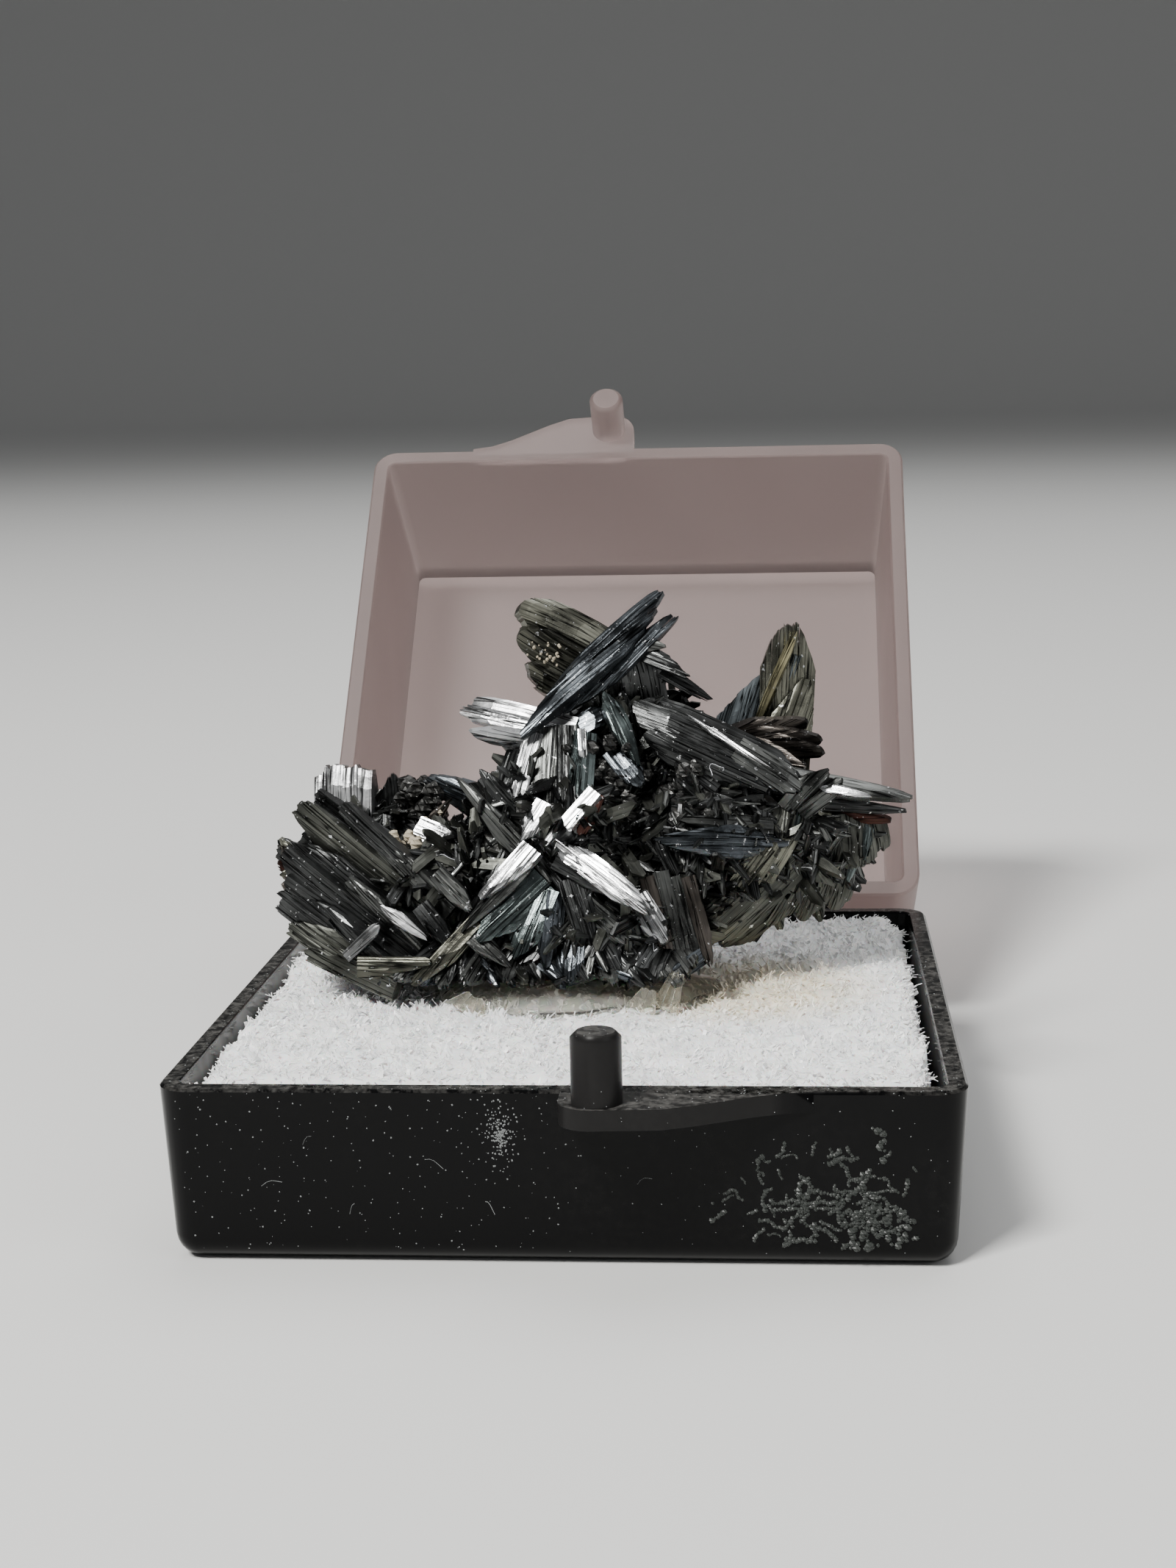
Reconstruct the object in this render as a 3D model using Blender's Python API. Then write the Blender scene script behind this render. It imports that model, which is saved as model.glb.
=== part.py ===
"""Manganite crystals on a foam pad, in a small display box with a hinged clear lid.

Metres, +Z up. The origin is the middle of the tray's underside and the box's front faces -Y.
The lid is modelled as it stands open, leaning back behind the tray.
Driving dimensions are in millimetres; MM turns them into metres.
"""
import math
import random

import bmesh
import bpy
from mathutils import Matrix, Vector, noise

MM = 0.001
GAP = 0.3                      # left between touching pieces

# Tray
BOX_WIDTH = 33.0               # across the rim, both ways
TRAY_HEIGHT = 7.56
TRAY_DRAFT = 0.43              # each side is this much narrower at the bottom
TRAY_WALL = 0.9
TRAY_FLOOR = 1.2
CORNER_RADIUS = 1.4
BOTTOM_RADIUS = 1.1
RIM_ROUNDING = 0.12

# Lid, in its own closed pose: the rim lies on the parting plane and the panel is on top
LID_WIDTH = 33.0
LID_LENGTH = 32.6
LID_DEPTH = 12.0
LID_DRAFT = 0.5
LID_WALL = 0.95
LID_EDGE_RADIUS = 1.5
LID_LEAN = 43.0                # degrees the open lid leans behind the vertical

# Hinge, along X at the top of the tray's back wall
LID_RIM_Z = TRAY_HEIGHT + GAP  # of the closed lid
KNUCKLE_RADIUS = 1.0
BORE_RADIUS = 0.7
PIN_RADIUS = 0.4
HINGE_Y = BOX_WIDTH / 2 + KNUCKLE_RADIUS + GAP
HINGE_Z = 7.0
TRAY_KNUCKLE = (9.0, 12.0)     # from and to, on each side of the middle
LID_KNUCKLE = (5.6, 8.7)
PIN_END = 11.2

# Latch tabs and posts: the lid's pair mirrors the tray's
TAB_START = 0.2
TAB_END = 10.3
TAB_REACH = 2.57
TAB_THICKNESS = 0.85
POST_X = 1.78
POST_OUT = 1.4                 # from the wall to the post's middle
POST_RADIUS = 1.03
POST_HEIGHT = 2.9
POST_CHAMFER = 0.25

# Foam and tack
FOAM_TOP = 6.85
FOAM_UNEVEN = 0.12
TACK_BOTTOM = 7.3
TACK_TOP = 7.8

SEED = 31
SMALL_PER_PATCH = 3            # small blades on each bare patch of ore
BACK_BLADES = 12
ROUND_STEPS = 6                # segments in a quarter turn of a corner


def clear_scene():
    for obj in list(bpy.data.objects):
        bpy.data.objects.remove(obj, do_unlink=True)


def material(name, colour, roughness, metallic=0.0, alpha=1.0):
    mat = bpy.data.materials.new(name)
    mat.use_nodes = True
    shader = mat.node_tree.nodes["Principled BSDF"]
    shader.inputs["Base Color"].default_value = (*colour, 1.0)
    shader.inputs["Roughness"].default_value = roughness
    shader.inputs["Metallic"].default_value = metallic
    shader.inputs["Alpha"].default_value = alpha
    return mat


def make_object(name, bm, mat):
    """Turn a bmesh in millimetres into a named object in metres."""
    bmesh.ops.scale(bm, vec=(MM, MM, MM), verts=bm.verts)
    bmesh.ops.recalc_face_normals(bm, faces=bm.faces)
    mesh = bpy.data.meshes.new(name)
    bm.to_mesh(mesh)
    bm.free()
    obj = bpy.data.objects.new(name, mesh)
    obj.data.materials.append(mat)
    bpy.context.scene.collection.objects.link(obj)
    return obj


def combine(obj, other, operation):
    """Join or cut an object with another by an exact Boolean, and keep the result as its mesh."""
    mod = obj.modifiers.new(operation.lower(), "BOOLEAN")
    mod.operation = operation
    mod.solver = "EXACT"
    mod.use_self = operation == "UNION"
    mod.object = other
    graph = bpy.context.evaluated_depsgraph_get()
    mesh = bpy.data.meshes.new_from_object(obj.evaluated_get(graph))
    obj.modifiers.clear()
    obj.data = mesh
    bpy.data.objects.remove(other, do_unlink=True)
    return obj


def round_shade(obj, angle=35.0):
    obj.data.shade_smooth()
    obj.data.set_sharp_from_angle(angle=math.radians(angle))


def rounded_rectangle(half_x, half_y, radius, z, centre_y=0.0):
    """Points of a rectangle with round corners, counter-clockwise."""
    points = []
    corners = [(1, 1, 0.0), (-1, 1, 90.0), (-1, -1, 180.0), (1, -1, 270.0)]
    for sign_x, sign_y, start in corners:
        mid_x = sign_x * (half_x - radius)
        mid_y = centre_y + sign_y * (half_y - radius)
        for step in range(ROUND_STEPS + 1):
            angle = math.radians(start + 90.0 * step / ROUND_STEPS)
            points.append(Vector((mid_x + radius * math.cos(angle), mid_y + radius * math.sin(angle), z)))
    return points


def loft(rings):
    """A closed body through rings with the same number of points, capped at both ends."""
    bm = bmesh.new()
    made = [[bm.verts.new(point) for point in ring] for ring in rings]
    count = len(rings[0])
    for lower, upper in zip(made, made[1:]):
        for i in range(count):
            j = (i + 1) % count
            bm.faces.new((lower[i], lower[j], upper[j], upper[i]))
    bm.faces.new(reversed(made[0]))
    bm.faces.new(made[-1])
    return bm


def shell_rings(half_x, half_y, depth, draft, wall, floor, edge_radius, centre_y=0.0):
    """Rings of an open shell, from its closed end, over the rim and down inside to the floor."""
    rings = []
    for step in range(ROUND_STEPS + 1):
        angle = math.radians(90.0 * step / ROUND_STEPS)
        z = edge_radius * (1 - math.cos(angle))
        inset = draft * (1 - z / depth) + edge_radius * (1 - math.sin(angle))
        radius = max(CORNER_RADIUS - inset, 0.5)
        rings.append(rounded_rectangle(half_x - inset, half_y - inset, radius, z, centre_y))
    rings.append(rounded_rectangle(half_x, half_y, CORNER_RADIUS, depth - RIM_ROUNDING, centre_y))
    for inset in (RIM_ROUNDING, wall - RIM_ROUNDING):
        rings.append(rounded_rectangle(half_x - inset, half_y - inset, CORNER_RADIUS - inset, depth, centre_y))
    inner_radius = CORNER_RADIUS - wall
    rings.append(rounded_rectangle(half_x - wall, half_y - wall, inner_radius, depth - RIM_ROUNDING, centre_y))
    inset = wall + draft * (1 - floor / depth)
    rings.append(rounded_rectangle(half_x - inset, half_y - inset, inner_radius, floor, centre_y))
    return rings


def cylinder_x(radius, start, end, y, z, sides=20):
    """A round bar along X."""
    rings = []
    for x in (start, end):
        angles = [2 * math.pi * i / sides for i in range(sides)]
        rings.append([Vector((x, y + radius * math.cos(a), z + radius * math.sin(a))) for a in angles])
    return loft(rings)


def bar_x(profile, start, end):
    """A bar along X whose cross-section is a list of (y, z) points."""
    return loft([[Vector((x, y, z)) for y, z in profile] for x in (start, end)])


def tab_outline(side):
    """Plan of the latch tab on one side of the middle: a round nose that tapers into the wall."""
    wall_y = -BOX_WIDTH / 2
    tip_y = wall_y - TAB_REACH
    nose = 1.3
    points = [(TAB_START, wall_y + TRAY_WALL / 2)]
    for step in range(ROUND_STEPS + 1):
        angle = math.radians(180.0 + 90.0 * step / ROUND_STEPS)
        points.append((TAB_START + nose + nose * math.cos(angle), tip_y + nose + nose * math.sin(angle)))
    for step in range(1, ROUND_STEPS + 1):
        t = step / ROUND_STEPS
        x = TAB_START + nose + 1.6 + (TAB_END - TAB_START - nose - 1.6) * t
        y = tip_y + TAB_REACH * (3 * t * t - 2 * t * t * t)
        points.append((x, y))
    points.append((TAB_END, wall_y + TRAY_WALL / 2))
    return [(side * x, y) for x, y in points]


def latch(side, face_z, up):
    """A tab whose flat face lies at face_z, with its post; up is +1 for the tray and -1 for the lid."""
    back_z = face_z - up * TAB_THICKNESS
    rings = [[Vector((x, y, z)) for x, y in tab_outline(side)] for z in (back_z, face_z)]
    tab = make_object("latch_tab", loft(rings), TRAY_PLASTIC)
    sides = 24
    post_y = -BOX_WIDTH / 2 - POST_OUT
    levels = [(face_z - up * TAB_THICKNESS / 2, POST_RADIUS),
              (face_z + up * (POST_HEIGHT - POST_CHAMFER), POST_RADIUS),
              (face_z + up * POST_HEIGHT, POST_RADIUS - POST_CHAMFER)]
    rings = []
    for z, radius in levels:
        ring = []
        for i in range(sides):
            angle = 2 * math.pi * i / sides
            ring.append(Vector((side * POST_X + radius * math.cos(angle), post_y + radius * math.sin(angle), z)))
        rings.append(ring)
    post = make_object("latch_post", loft(rings), TRAY_PLASTIC)
    return combine(tab, post, "UNION")


def make_tray():
    half = BOX_WIDTH / 2
    rings = shell_rings(half, half, TRAY_HEIGHT, TRAY_DRAFT, TRAY_WALL, TRAY_FLOOR, BOTTOM_RADIUS)
    tray = make_object("box_base", loft(rings), TRAY_PLASTIC)
    combine(tray, latch(1, TRAY_HEIGHT, 1), "UNION")
    for side in (-1, 1):
        near, far = sorted(side * x for x in TRAY_KNUCKLE)
        knuckle = make_object("knuckle", cylinder_x(KNUCKLE_RADIUS, near, far, HINGE_Y, HINGE_Z), TRAY_PLASTIC)
        inner_y = half - TRAY_WALL / 2
        low_z = HINGE_Z - KNUCKLE_RADIUS - 0.8
        profile = [(inner_y, low_z), (half, low_z), (HINGE_Y, HINGE_Z - 0.9), (HINGE_Y, HINGE_Z + 0.3),
                   (inner_y, HINGE_Z + 0.3)]
        web = make_object("web", bar_x(profile, near, far), TRAY_PLASTIC)
        combine(knuckle, web, "UNION")
        bore = make_object("bore", cylinder_x(BORE_RADIUS, near - 1, far + 1, HINGE_Y, HINGE_Z), TRAY_PLASTIC)
        combine(knuckle, bore, "DIFFERENCE")
        combine(tray, knuckle, "UNION")
    tray.data.materials.clear()
    tray.data.materials.append(TRAY_PLASTIC)
    round_shade(tray)
    return tray


def make_lid():
    """The lid is made closed, with its panel on top, and then turned about the hinge."""
    back_y = BOX_WIDTH / 2 - GAP
    centre_y = back_y - LID_LENGTH / 2
    rim_z = LID_RIM_Z
    rings = shell_rings(LID_WIDTH / 2, LID_LENGTH / 2, LID_DEPTH, LID_DRAFT, LID_WALL, LID_WALL,
                        LID_EDGE_RADIUS, centre_y)
    for ring in rings:
        for point in ring:
            point.z = rim_z + LID_DEPTH - point.z
    lid = make_object("box_lid", loft(rings), CLEAR_PLASTIC)
    combine(lid, latch(-1, rim_z, -1), "UNION")
    for side in (-1, 1):
        near, far = sorted(side * x for x in LID_KNUCKLE)
        knuckle = make_object("knuckle", cylinder_x(KNUCKLE_RADIUS, near, far, HINGE_Y, HINGE_Z), CLEAR_PLASTIC)
        inner_y = back_y - LID_WALL / 2
        clear_y = BOX_WIDTH / 2 + GAP + 0.1
        outer_y = HINGE_Y + KNUCKLE_RADIUS - 0.1
        profile = [(inner_y, rim_z), (clear_y, rim_z), (clear_y, HINGE_Z), (outer_y, HINGE_Z),
                   (outer_y - 0.3, rim_z + 0.6), (back_y, rim_z + 2.2), (inner_y, rim_z + 2.2)]
        web = make_object("web", bar_x(profile, near, far), CLEAR_PLASTIC)
        combine(knuckle, web, "UNION")
        start, end = sorted((side * (LID_KNUCKLE[1] - 0.5), side * PIN_END))
        pin = make_object("pin", cylinder_x(PIN_RADIUS, start, end, HINGE_Y, HINGE_Z), CLEAR_PLASTIC)
        combine(knuckle, pin, "UNION")
        combine(lid, knuckle, "UNION")
    lid.data.materials.clear()
    lid.data.materials.append(CLEAR_PLASTIC)
    round_shade(lid)
    axis = Vector((0.0, HINGE_Y * MM, HINGE_Z * MM))
    lid.data.transform(Matrix.Translation(-axis))
    lid.location = axis
    lid.rotation_euler.x = -math.radians(90.0 + LID_LEAN)
    return lid


def make_foam():
    """A pad that fills the tray, with an uneven top."""
    inset = TRAY_WALL + TRAY_DRAFT + GAP
    half = BOX_WIDTH / 2 - inset
    cells = 14
    bm = bmesh.new()
    bmesh.ops.create_grid(bm, x_segments=cells, y_segments=cells, size=half)
    for vert in bm.verts:
        vert.co.z = FOAM_TOP + FOAM_UNEVEN * noise.noise(vert.co * 0.7)
    skirt = bmesh.ops.extrude_edge_only(bm, edges=[e for e in bm.edges if e.is_boundary])
    lowered = [item for item in skirt["geom"] if isinstance(item, bmesh.types.BMVert)]
    for vert in lowered:
        vert.co.z = TRAY_FLOOR + GAP
    bmesh.ops.contextual_create(bm, geom=[e for e in bm.edges if e.is_boundary])
    return make_object("foam_insert", bm, WHITE_FOAM)


def make_tack():
    """A pressed pad of tack with a wavy edge, thickest where it is hidden."""
    middle = Vector((-1.4, -0.2, 0.0))
    spread = Vector((7.0, 4.6, 0.0))
    sides = 36
    rings = []
    for z, scale in ((TACK_BOTTOM, 0.94), (TACK_BOTTOM + 0.2, 1.0), (TACK_TOP - 0.15, 0.93), (TACK_TOP, 0.8)):
        ring = []
        for i in range(sides):
            angle = 2 * math.pi * i / sides
            wave = 1 + 0.07 * math.sin(3 * angle + 0.6) + 0.04 * math.sin(7 * angle)
            reach = scale * wave
            x = middle.x + spread.x * reach * math.cos(angle)
            y = middle.y + spread.y * reach * math.sin(angle)
            ring.append(Vector((x, y, z)))
        rings.append(ring)
    tack = make_object("mounting_tack", loft(rings), CLEAR_TACK)
    round_shade(tack)
    return tack


# The six-sided cross-section of a bladed crystal, across its width and through its thickness
SECTION = ((-0.5, 0.0), (-0.36, 0.5), (0.34, 0.5), (0.5, 0.04), (0.35, -0.5), (-0.33, -0.5))


def crystal(bm, root, tip, width, thick, face, end=0.45, slant=0.0, shoulder=0.96):
    """Add one bladed crystal, in millimetres.

    face is the way its broad side looks, end the share of its width left at the tip, slant how far
    one edge of the tip runs ahead of the other, and shoulder the share of its width just below it.
    """
    root, tip, face = Vector(root), Vector(tip), Vector(face)
    along = (tip - root).normalized()
    flat = (face - face.dot(along) * along).normalized()
    side = along.cross(flat)
    length = (tip - root).length
    rings = []
    for share, size in ((0.0, 0.8), (0.45, 1.0), (0.84, shoulder), (1.0, end)):
        ring = []
        for across, through in SECTION:
            ahead = slant * width * across * share
            point = root + along * (length * share + ahead)
            ring.append(bm.verts.new(point + side * (width * size * across) + flat * (thick * size * through)))
        rings.append(ring)
    count = len(SECTION)
    for lower, upper in zip(rings, rings[1:]):
        for i in range(count):
            j = (i + 1) % count
            bm.faces.new((lower[i], lower[j], upper[j], upper[i]))
    bm.faces.new(reversed(rings[0]))
    bm.faces.new(rings[-1])


def fan(bm, rng, count, roots, tips, width, thick, face, end=0.35, spread=0.25):
    """Add crystals side by side, from one line of roots to one line of tips."""
    root_a, root_b = (Vector(point) for point in roots)
    tip_a, tip_b = (Vector(point) for point in tips)
    for i in range(count):
        t = i / max(count - 1, 1)
        shift = Vector([rng.uniform(-spread, spread) for _ in range(3)])
        root = root_a.lerp(root_b, t) + shift * 0.5
        tip = tip_a.lerp(tip_b, t) + shift
        tilt = Vector([rng.uniform(-0.2, 0.2) for _ in range(3)])
        size = rng.uniform(0.85, 1.2)
        crystal(bm, root, tip, width * size, thick, Vector(face) + tilt, end, rng.uniform(-0.5, 0.5))


def lump(bm, rng, centre, radii, facets=1):
    """Add a rough, flat-faced lump of the massive ore that the crystals grow from."""
    made = bmesh.ops.create_icosphere(bm, subdivisions=facets, radius=1.0)
    for vert in made["verts"]:
        rough = rng.uniform(0.86, 1.1)
        vert.co = Vector([centre[i] + radii[i] * vert.co[i] * rough for i in range(3)])


FRONT = (0.0, -1.0, 0.25)
LEFT_FRONT = (-0.55, -1.0, 0.2)
RIGHT_FRONT = (0.5, -1.0, 0.2)
UPWARD = (0.0, -0.5, 1.0)


def add_core(bm, rng):
    """Massive ore behind and under the crystals."""
    lump(bm, rng, (-7.6, 2.6, 11.6), (4.6, 3.8, 3.2))
    lump(bm, rng, (-1.4, 3.0, 13.4), (4.8, 4.4, 5.2))
    lump(bm, rng, (5.2, 3.6, 13.8), (4.8, 4.4, 4.4))
    lump(bm, rng, (10.2, 4.6, 13.6), (2.9, 3.2, 2.4))
    lump(bm, rng, (0.6, 0.6, 10.4), (5.0, 3.6, 2.3))
    lump(bm, rng, (1.6, 6.0, 17.8), (3.9, 3.4, 3.6))
    lump(bm, rng, (-10.2, 4.6, 13.2), (2.3, 2.4, 2.2))


def add_crown(bm, rng):
    """The large crystals that stand out at the top."""
    crystal(bm, (3.2, 8.8, 20.2), (-3.2, 7.3, 23.9), 3.4, 2.0, (0.2, -1.0, 0.6), 0.84, -0.1)
    crystal(bm, (3.0, 8.0, 19.6), (-2.5, 6.6, 22.2), 3.0, 1.7, (0.1, -1.0, 0.2), 0.7, 0.35)
    crystal(bm, (-3.3, 1.5, 19.0), (3.4, 4.8, 24.7), 2.1, 0.9, (-0.5, -1.0, 0.45), 0.6, -0.75)
    crystal(bm, (-2.4, 2.2, 18.6), (1.6, 4.4, 22.2), 1.9, 1.0, (-0.3, -1.0, 0.3), 0.4, -0.5)
    fan(bm, rng, 3, ((1.6, 5.2, 22.6), (1.7, 5.0, 23.4)), ((5.9, 4.3, 20.8), (4.0, 3.9, 23.0)), 0.8, 0.45,
        (0.1, -1.0, 0.5), 0.2)
    crystal(bm, (1.6, 5.2, 19.4), (2.6, 4.6, 22.6), 2.0, 1.2, FRONT, 0.7, 0.2)
    crystal(bm, (-0.4, 3.5, 19.1), (-6.1, 0.5, 19.7), 1.7, 1.2, (-0.3, -1.0, -0.1), 0.6, 0.3)
    crystal(bm, (-0.6, 3.4, 18.3), (-5.0, 1.0, 19.0), 1.4, 1.1, (-0.3, -1.0, 0.3), 0.6, -0.4)


def add_right(bm, rng):
    """The golden upright crystal, the brown fan and the ledge that runs to the right-hand tip."""
    crystal(bm, (6.2, 7.2, 13.6), (9.3, 8.0, 23.5), 4.0, 1.6, (-0.2, -1.0, 0.2), 0.4, 0.15, 0.68)
    crystal(bm, (7.4, 7.0, 14.6), (9.9, 7.6, 21.6), 1.9, 1.2, (0.3, -1.0, 0.2), 0.6, 0.2, 0.85)
    fan(bm, rng, 5, ((6.6, 6.6, 17.0), (6.4, 6.6, 17.9)), ((10.4, 4.4, 17.5), (9.8, 5.0, 19.5)), 1.3, 0.9,
        (0.35, -1.0, 0.2), 0.5)
    crystal(bm, (1.9, 3.4, 20.0), (10.4, 2.2, 16.3), 2.5, 1.7, (0.2, -1.0, 0.6), 0.45, -0.3)
    crystal(bm, (2.6, 2.2, 18.4), (8.6, 1.0, 16.2), 2.2, 1.2, (0.2, -1.0, 0.0), 0.3, 0.3)
    crystal(bm, (8.6, 3.4, 16.6), (14.9, 1.9, 15.5), 1.9, 1.1, (0.2, -0.5, 1.0), 0.12, -0.3)
    crystal(bm, (9.4, 3.6, 15.6), (13.9, 2.8, 14.6), 1.6, 1.2, (0.4, -1.0, -0.3), 0.5, 0.3)
    fan(bm, rng, 4, ((9.4, 2.8, 15.4), (10.4, 3.0, 15.2)), ((10.8, 1.7, 17.4), (12.4, 2.0, 16.9)), 0.9, 0.7,
        (0.2, -1.0, 0.3), 0.5)
    fan(bm, rng, 7, ((9.2, 4.4, 14.9), (12.4, 5.4, 15.0)), ((8.7, 3.2, 9.9), (13.5, 3.9, 12.4)), 1.3, 1.1,
        RIGHT_FRONT, 0.55, 0.35)
    fan(bm, rng, 4, ((9.6, 3.6, 14.6), (12.6, 4.2, 14.6)), ((10.4, 2.4, 12.2), (12.9, 3.0, 12.6)), 1.0, 0.8,
        RIGHT_FRONT, 0.5, 0.3)
    crystal(bm, (10.2, 4.6, 12.4), (10.9, 4.9, 9.5), 1.5, 1.1, FRONT, 0.15)
    crystal(bm, (7.0, 2.6, 12.0), (6.4, 1.0, 9.2), 3.6, 1.6, (0.3, -1.0, -0.3), 0.55, 0.4)


def add_middle(bm, rng):
    """The star of blades in the middle and the blades around it."""
    crystal(bm, (-6.2, 1.2, 17.3), (-1.6, -1.2, 14.0), 1.2, 0.7, LEFT_FRONT, 0.45, 0.3)
    crystal(bm, (0.3, 0.2, 16.6), (-1.7, -1.7, 14.0), 0.9, 0.6, (0.3, -1.0, 0.3), 0.3)
    crystal(bm, (-2.4, -1.2, 14.6), (-5.4, -2.6, 11.2), 1.0, 0.7, (0.35, -1.0, 0.55), 0.3, 0.2)
    crystal(bm, (-2.4, -0.6, 15.6), (-1.4, -2.2, 12.2), 1.0, 0.7, FRONT, 0.5)
    fan(bm, rng, 5, ((-3.6, 1.6, 19.0), (0.2, 1.8, 19.2)), ((-3.7, -0.4, 15.8), (0.6, -0.2, 16.4)), 1.2, 0.8,
        FRONT, 0.5, 0.3)
    crystal(bm, (0.9, 3.8, 21.0), (2.5, 1.8, 17.6), 1.0, 0.9, RIGHT_FRONT, 0.5, 0.3)
    crystal(bm, (-0.9, -0.6, 15.4), (3.2, -2.2, 11.9), 1.7, 0.9, (0.15, -1.0, 0.5), 0.6, 0.3)
    crystal(bm, (-1.0, -1.0, 14.4), (1.4, -2.3, 12.7), 0.9, 0.7, (0.15, -1.0, 0.5), 0.5)
    crystal(bm, (3.2, -0.8, 14.4), (9.1, 0.2, 14.9), 1.5, 1.1, (0.1, -1.0, 0.5), 0.5, -0.3)
    fan(bm, rng, 3, ((8.9, 1.4, 14.6), (9.4, 1.6, 14.4)), ((6.8, -0.2, 12.6), (8.3, 0.2, 12.5)), 0.9, 0.7,
        FRONT, 0.7, 0.2)
    fan(bm, rng, 4, ((2.8, -0.6, 13.4), (4.4, -0.2, 13.2)), ((3.6, -2.2, 8.6), (5.4, -1.6, 8.7)), 1.0, 0.8,
        FRONT, 0.5, 0.2)
    fan(bm, rng, 4, ((1.6, -0.6, 12.2), (4.2, -0.8, 11.0)), ((-1.2, -2.9, 9.4), (1.4, -3.4, 8.8)), 1.3, 0.8,
        FRONT, 0.5, 0.3)
    fan(bm, rng, 4, ((-2.6, 0.4, 13.6), (-0.4, 0.2, 12.6)), ((-4.6, -2.4, 10.0), (-2.4, -3.1, 9.0)), 1.2, 0.8,
        LEFT_FRONT, 0.5, 0.3)
    crystal(bm, (-3.0, -2.2, 9.0), (5.4, -2.2, 8.8), 1.2, 1.1, (0.0, -1.0, -0.2), 0.5)
    fan(bm, rng, 8, ((-7.0, -0.6, 10.0), (3.6, -0.4, 9.8)), ((-8.6, -3.4, 8.6), (5.2, -3.4, 8.7)), 1.5, 0.8,
        (-0.1, -1.0, 0.6), 0.5, 0.3)
    crystal(bm, (-8.6, -2.4, 8.7), (-2.4, -3.9, 8.6), 1.0, 0.7, (0.0, -1.0, 0.4), 0.4)
    crystal(bm, (-3.6, -3.6, 8.7), (2.6, -3.7, 8.6), 1.0, 0.7, (0.0, -1.0, 0.4), 0.5)


def add_left(bm, rng):
    """The large fan of parallel blades at the lower left and the striated crystals behind it."""
    fan(bm, rng, 7, ((-7.2, 0.8, 12.6), (-8.2, -0.4, 8.9)), ((-13.9, 1.6, 15.4), (-14.6, 0.0, 12.4)), 1.9, 1.1,
        (-0.45, -1.0, 0.35), 0.5, 0.3)
    fan(bm, rng, 4, ((-6.6, -1.2, 11.2), (-8.6, -2.0, 9.0)), ((-12.0, -0.8, 14.4), (-13.9, -0.8, 11.8)), 1.7, 0.9,
        (-0.3, -1.0, 0.5), 0.4, 0.3)
    fan(bm, rng, 4, ((-8.0, -1.6, 9.2), (-10.0, -1.8, 9.0)), ((-13.4, 0.2, 11.4), (-13.6, 0.4, 10.0)), 1.4, 1.0,
        (-0.3, -1.0, 0.2), 0.5, 0.25)
    crystal(bm, (-11.6, 4.4, 12.6), (-12.0, 4.9, 17.1), 3.4, 1.9, (-0.2, -1.0, 0.2), 0.8, 0.1)
    fan(bm, rng, 3, ((-9.6, 5.6, 13.0), (-8.4, 5.6, 13.0)), ((-9.8, 5.6, 16.5), (-8.6, 5.4, 15.6)), 1.3, 1.2,
        FRONT, 0.6, 0.2)
    crystal(bm, (-8.4, 2.6, 12.6), (-6.6, 1.4, 15.0), 1.4, 1.2, (0.2, -1.0, 0.4), 0.8)
    crystal(bm, (-8.6, 2.8, 12.2), (-8.7, 1.5, 14.3), 1.4, 1.2, FRONT, 0.8)
    crystal(bm, (-4.9, -1.6, 11.4), (-7.8, -3.1, 8.5), 1.0, 0.7, (-0.3, -1.0, 0.3), 0.35)
    crystal(bm, (-5.6, -1.6, 10.8), (-3.2, -3.0, 9.4), 1.2, 0.7, (0.2, -1.0, 0.5), 0.3)
    fan(bm, rng, 3, ((-5.8, -1.0, 9.6), (-6.6, -1.0, 9.2)), ((-9.6, -2.6, 8.7), (-10.6, -2.2, 8.7)), 1.0, 0.8,
        LEFT_FRONT, 0.4, 0.15)


def add_small(bm, rng):
    """Small blades at all angles over the massive ore in front, where no large crystal covers it."""
    patches = [((-9.4, -0.8, 12.6), (-4.0, -0.6, 9.8)), ((-6.4, 0.4, 14.4), (-3.2, -0.6, 16.4)),
               ((-0.6, -1.6, 13.6), (3.2, -1.0, 16.6)), ((3.0, -0.4, 16.6), (8.6, 0.6, 13.4)),
               ((8.2, 1.6, 14.6), (12.2, 2.6, 12.4)), ((4.4, 0.2, 12.6), (8.4, 1.4, 11.0))]
    for low, high in patches:
        for _ in range(SMALL_PER_PATCH):
            root = Vector([rng.uniform(low[i], high[i]) for i in range(3)])
            turn = rng.uniform(0.0, math.pi)
            reach = rng.uniform(1.0, 1.7)
            along = Vector((reach * math.cos(turn), rng.uniform(-0.9, -0.3), reach * math.sin(turn)))
            face = (rng.uniform(-0.7, 0.7), -1.0, rng.uniform(-0.2, 0.8))
            crystal(bm, root - along * 0.7, root + along * 0.6, rng.uniform(0.9, 1.5), rng.uniform(0.5, 0.8), face,
                    0.5, rng.uniform(-0.5, 0.5))


def add_back(bm, rng):
    """Blades on the hidden side, in the same habit as those that show."""
    for turn in range(BACK_BLADES):
        angle = math.radians(18 + 144 * turn / (BACK_BLADES - 1))
        height = rng.uniform(9.8, 18.0)
        narrowing = 1.25 - 0.05 * height
        root = (0.4 + 4.6 * narrowing * math.cos(angle), 3.8 + 2.0 * narrowing * math.sin(angle), height)
        reach = rng.uniform(1.2, 1.6) * narrowing
        tip = (10.6 * reach * math.cos(angle), 3.4 + 6.2 * reach * math.sin(angle), height + rng.uniform(-1.2, 2.6))
        face = (rng.uniform(-0.5, 0.5), 1.0, rng.uniform(0.2, 0.9))
        crystal(bm, root, tip, rng.uniform(1.6, 2.8), rng.uniform(0.9, 1.5), face, 0.5, rng.uniform(-0.5, 0.5))


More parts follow.
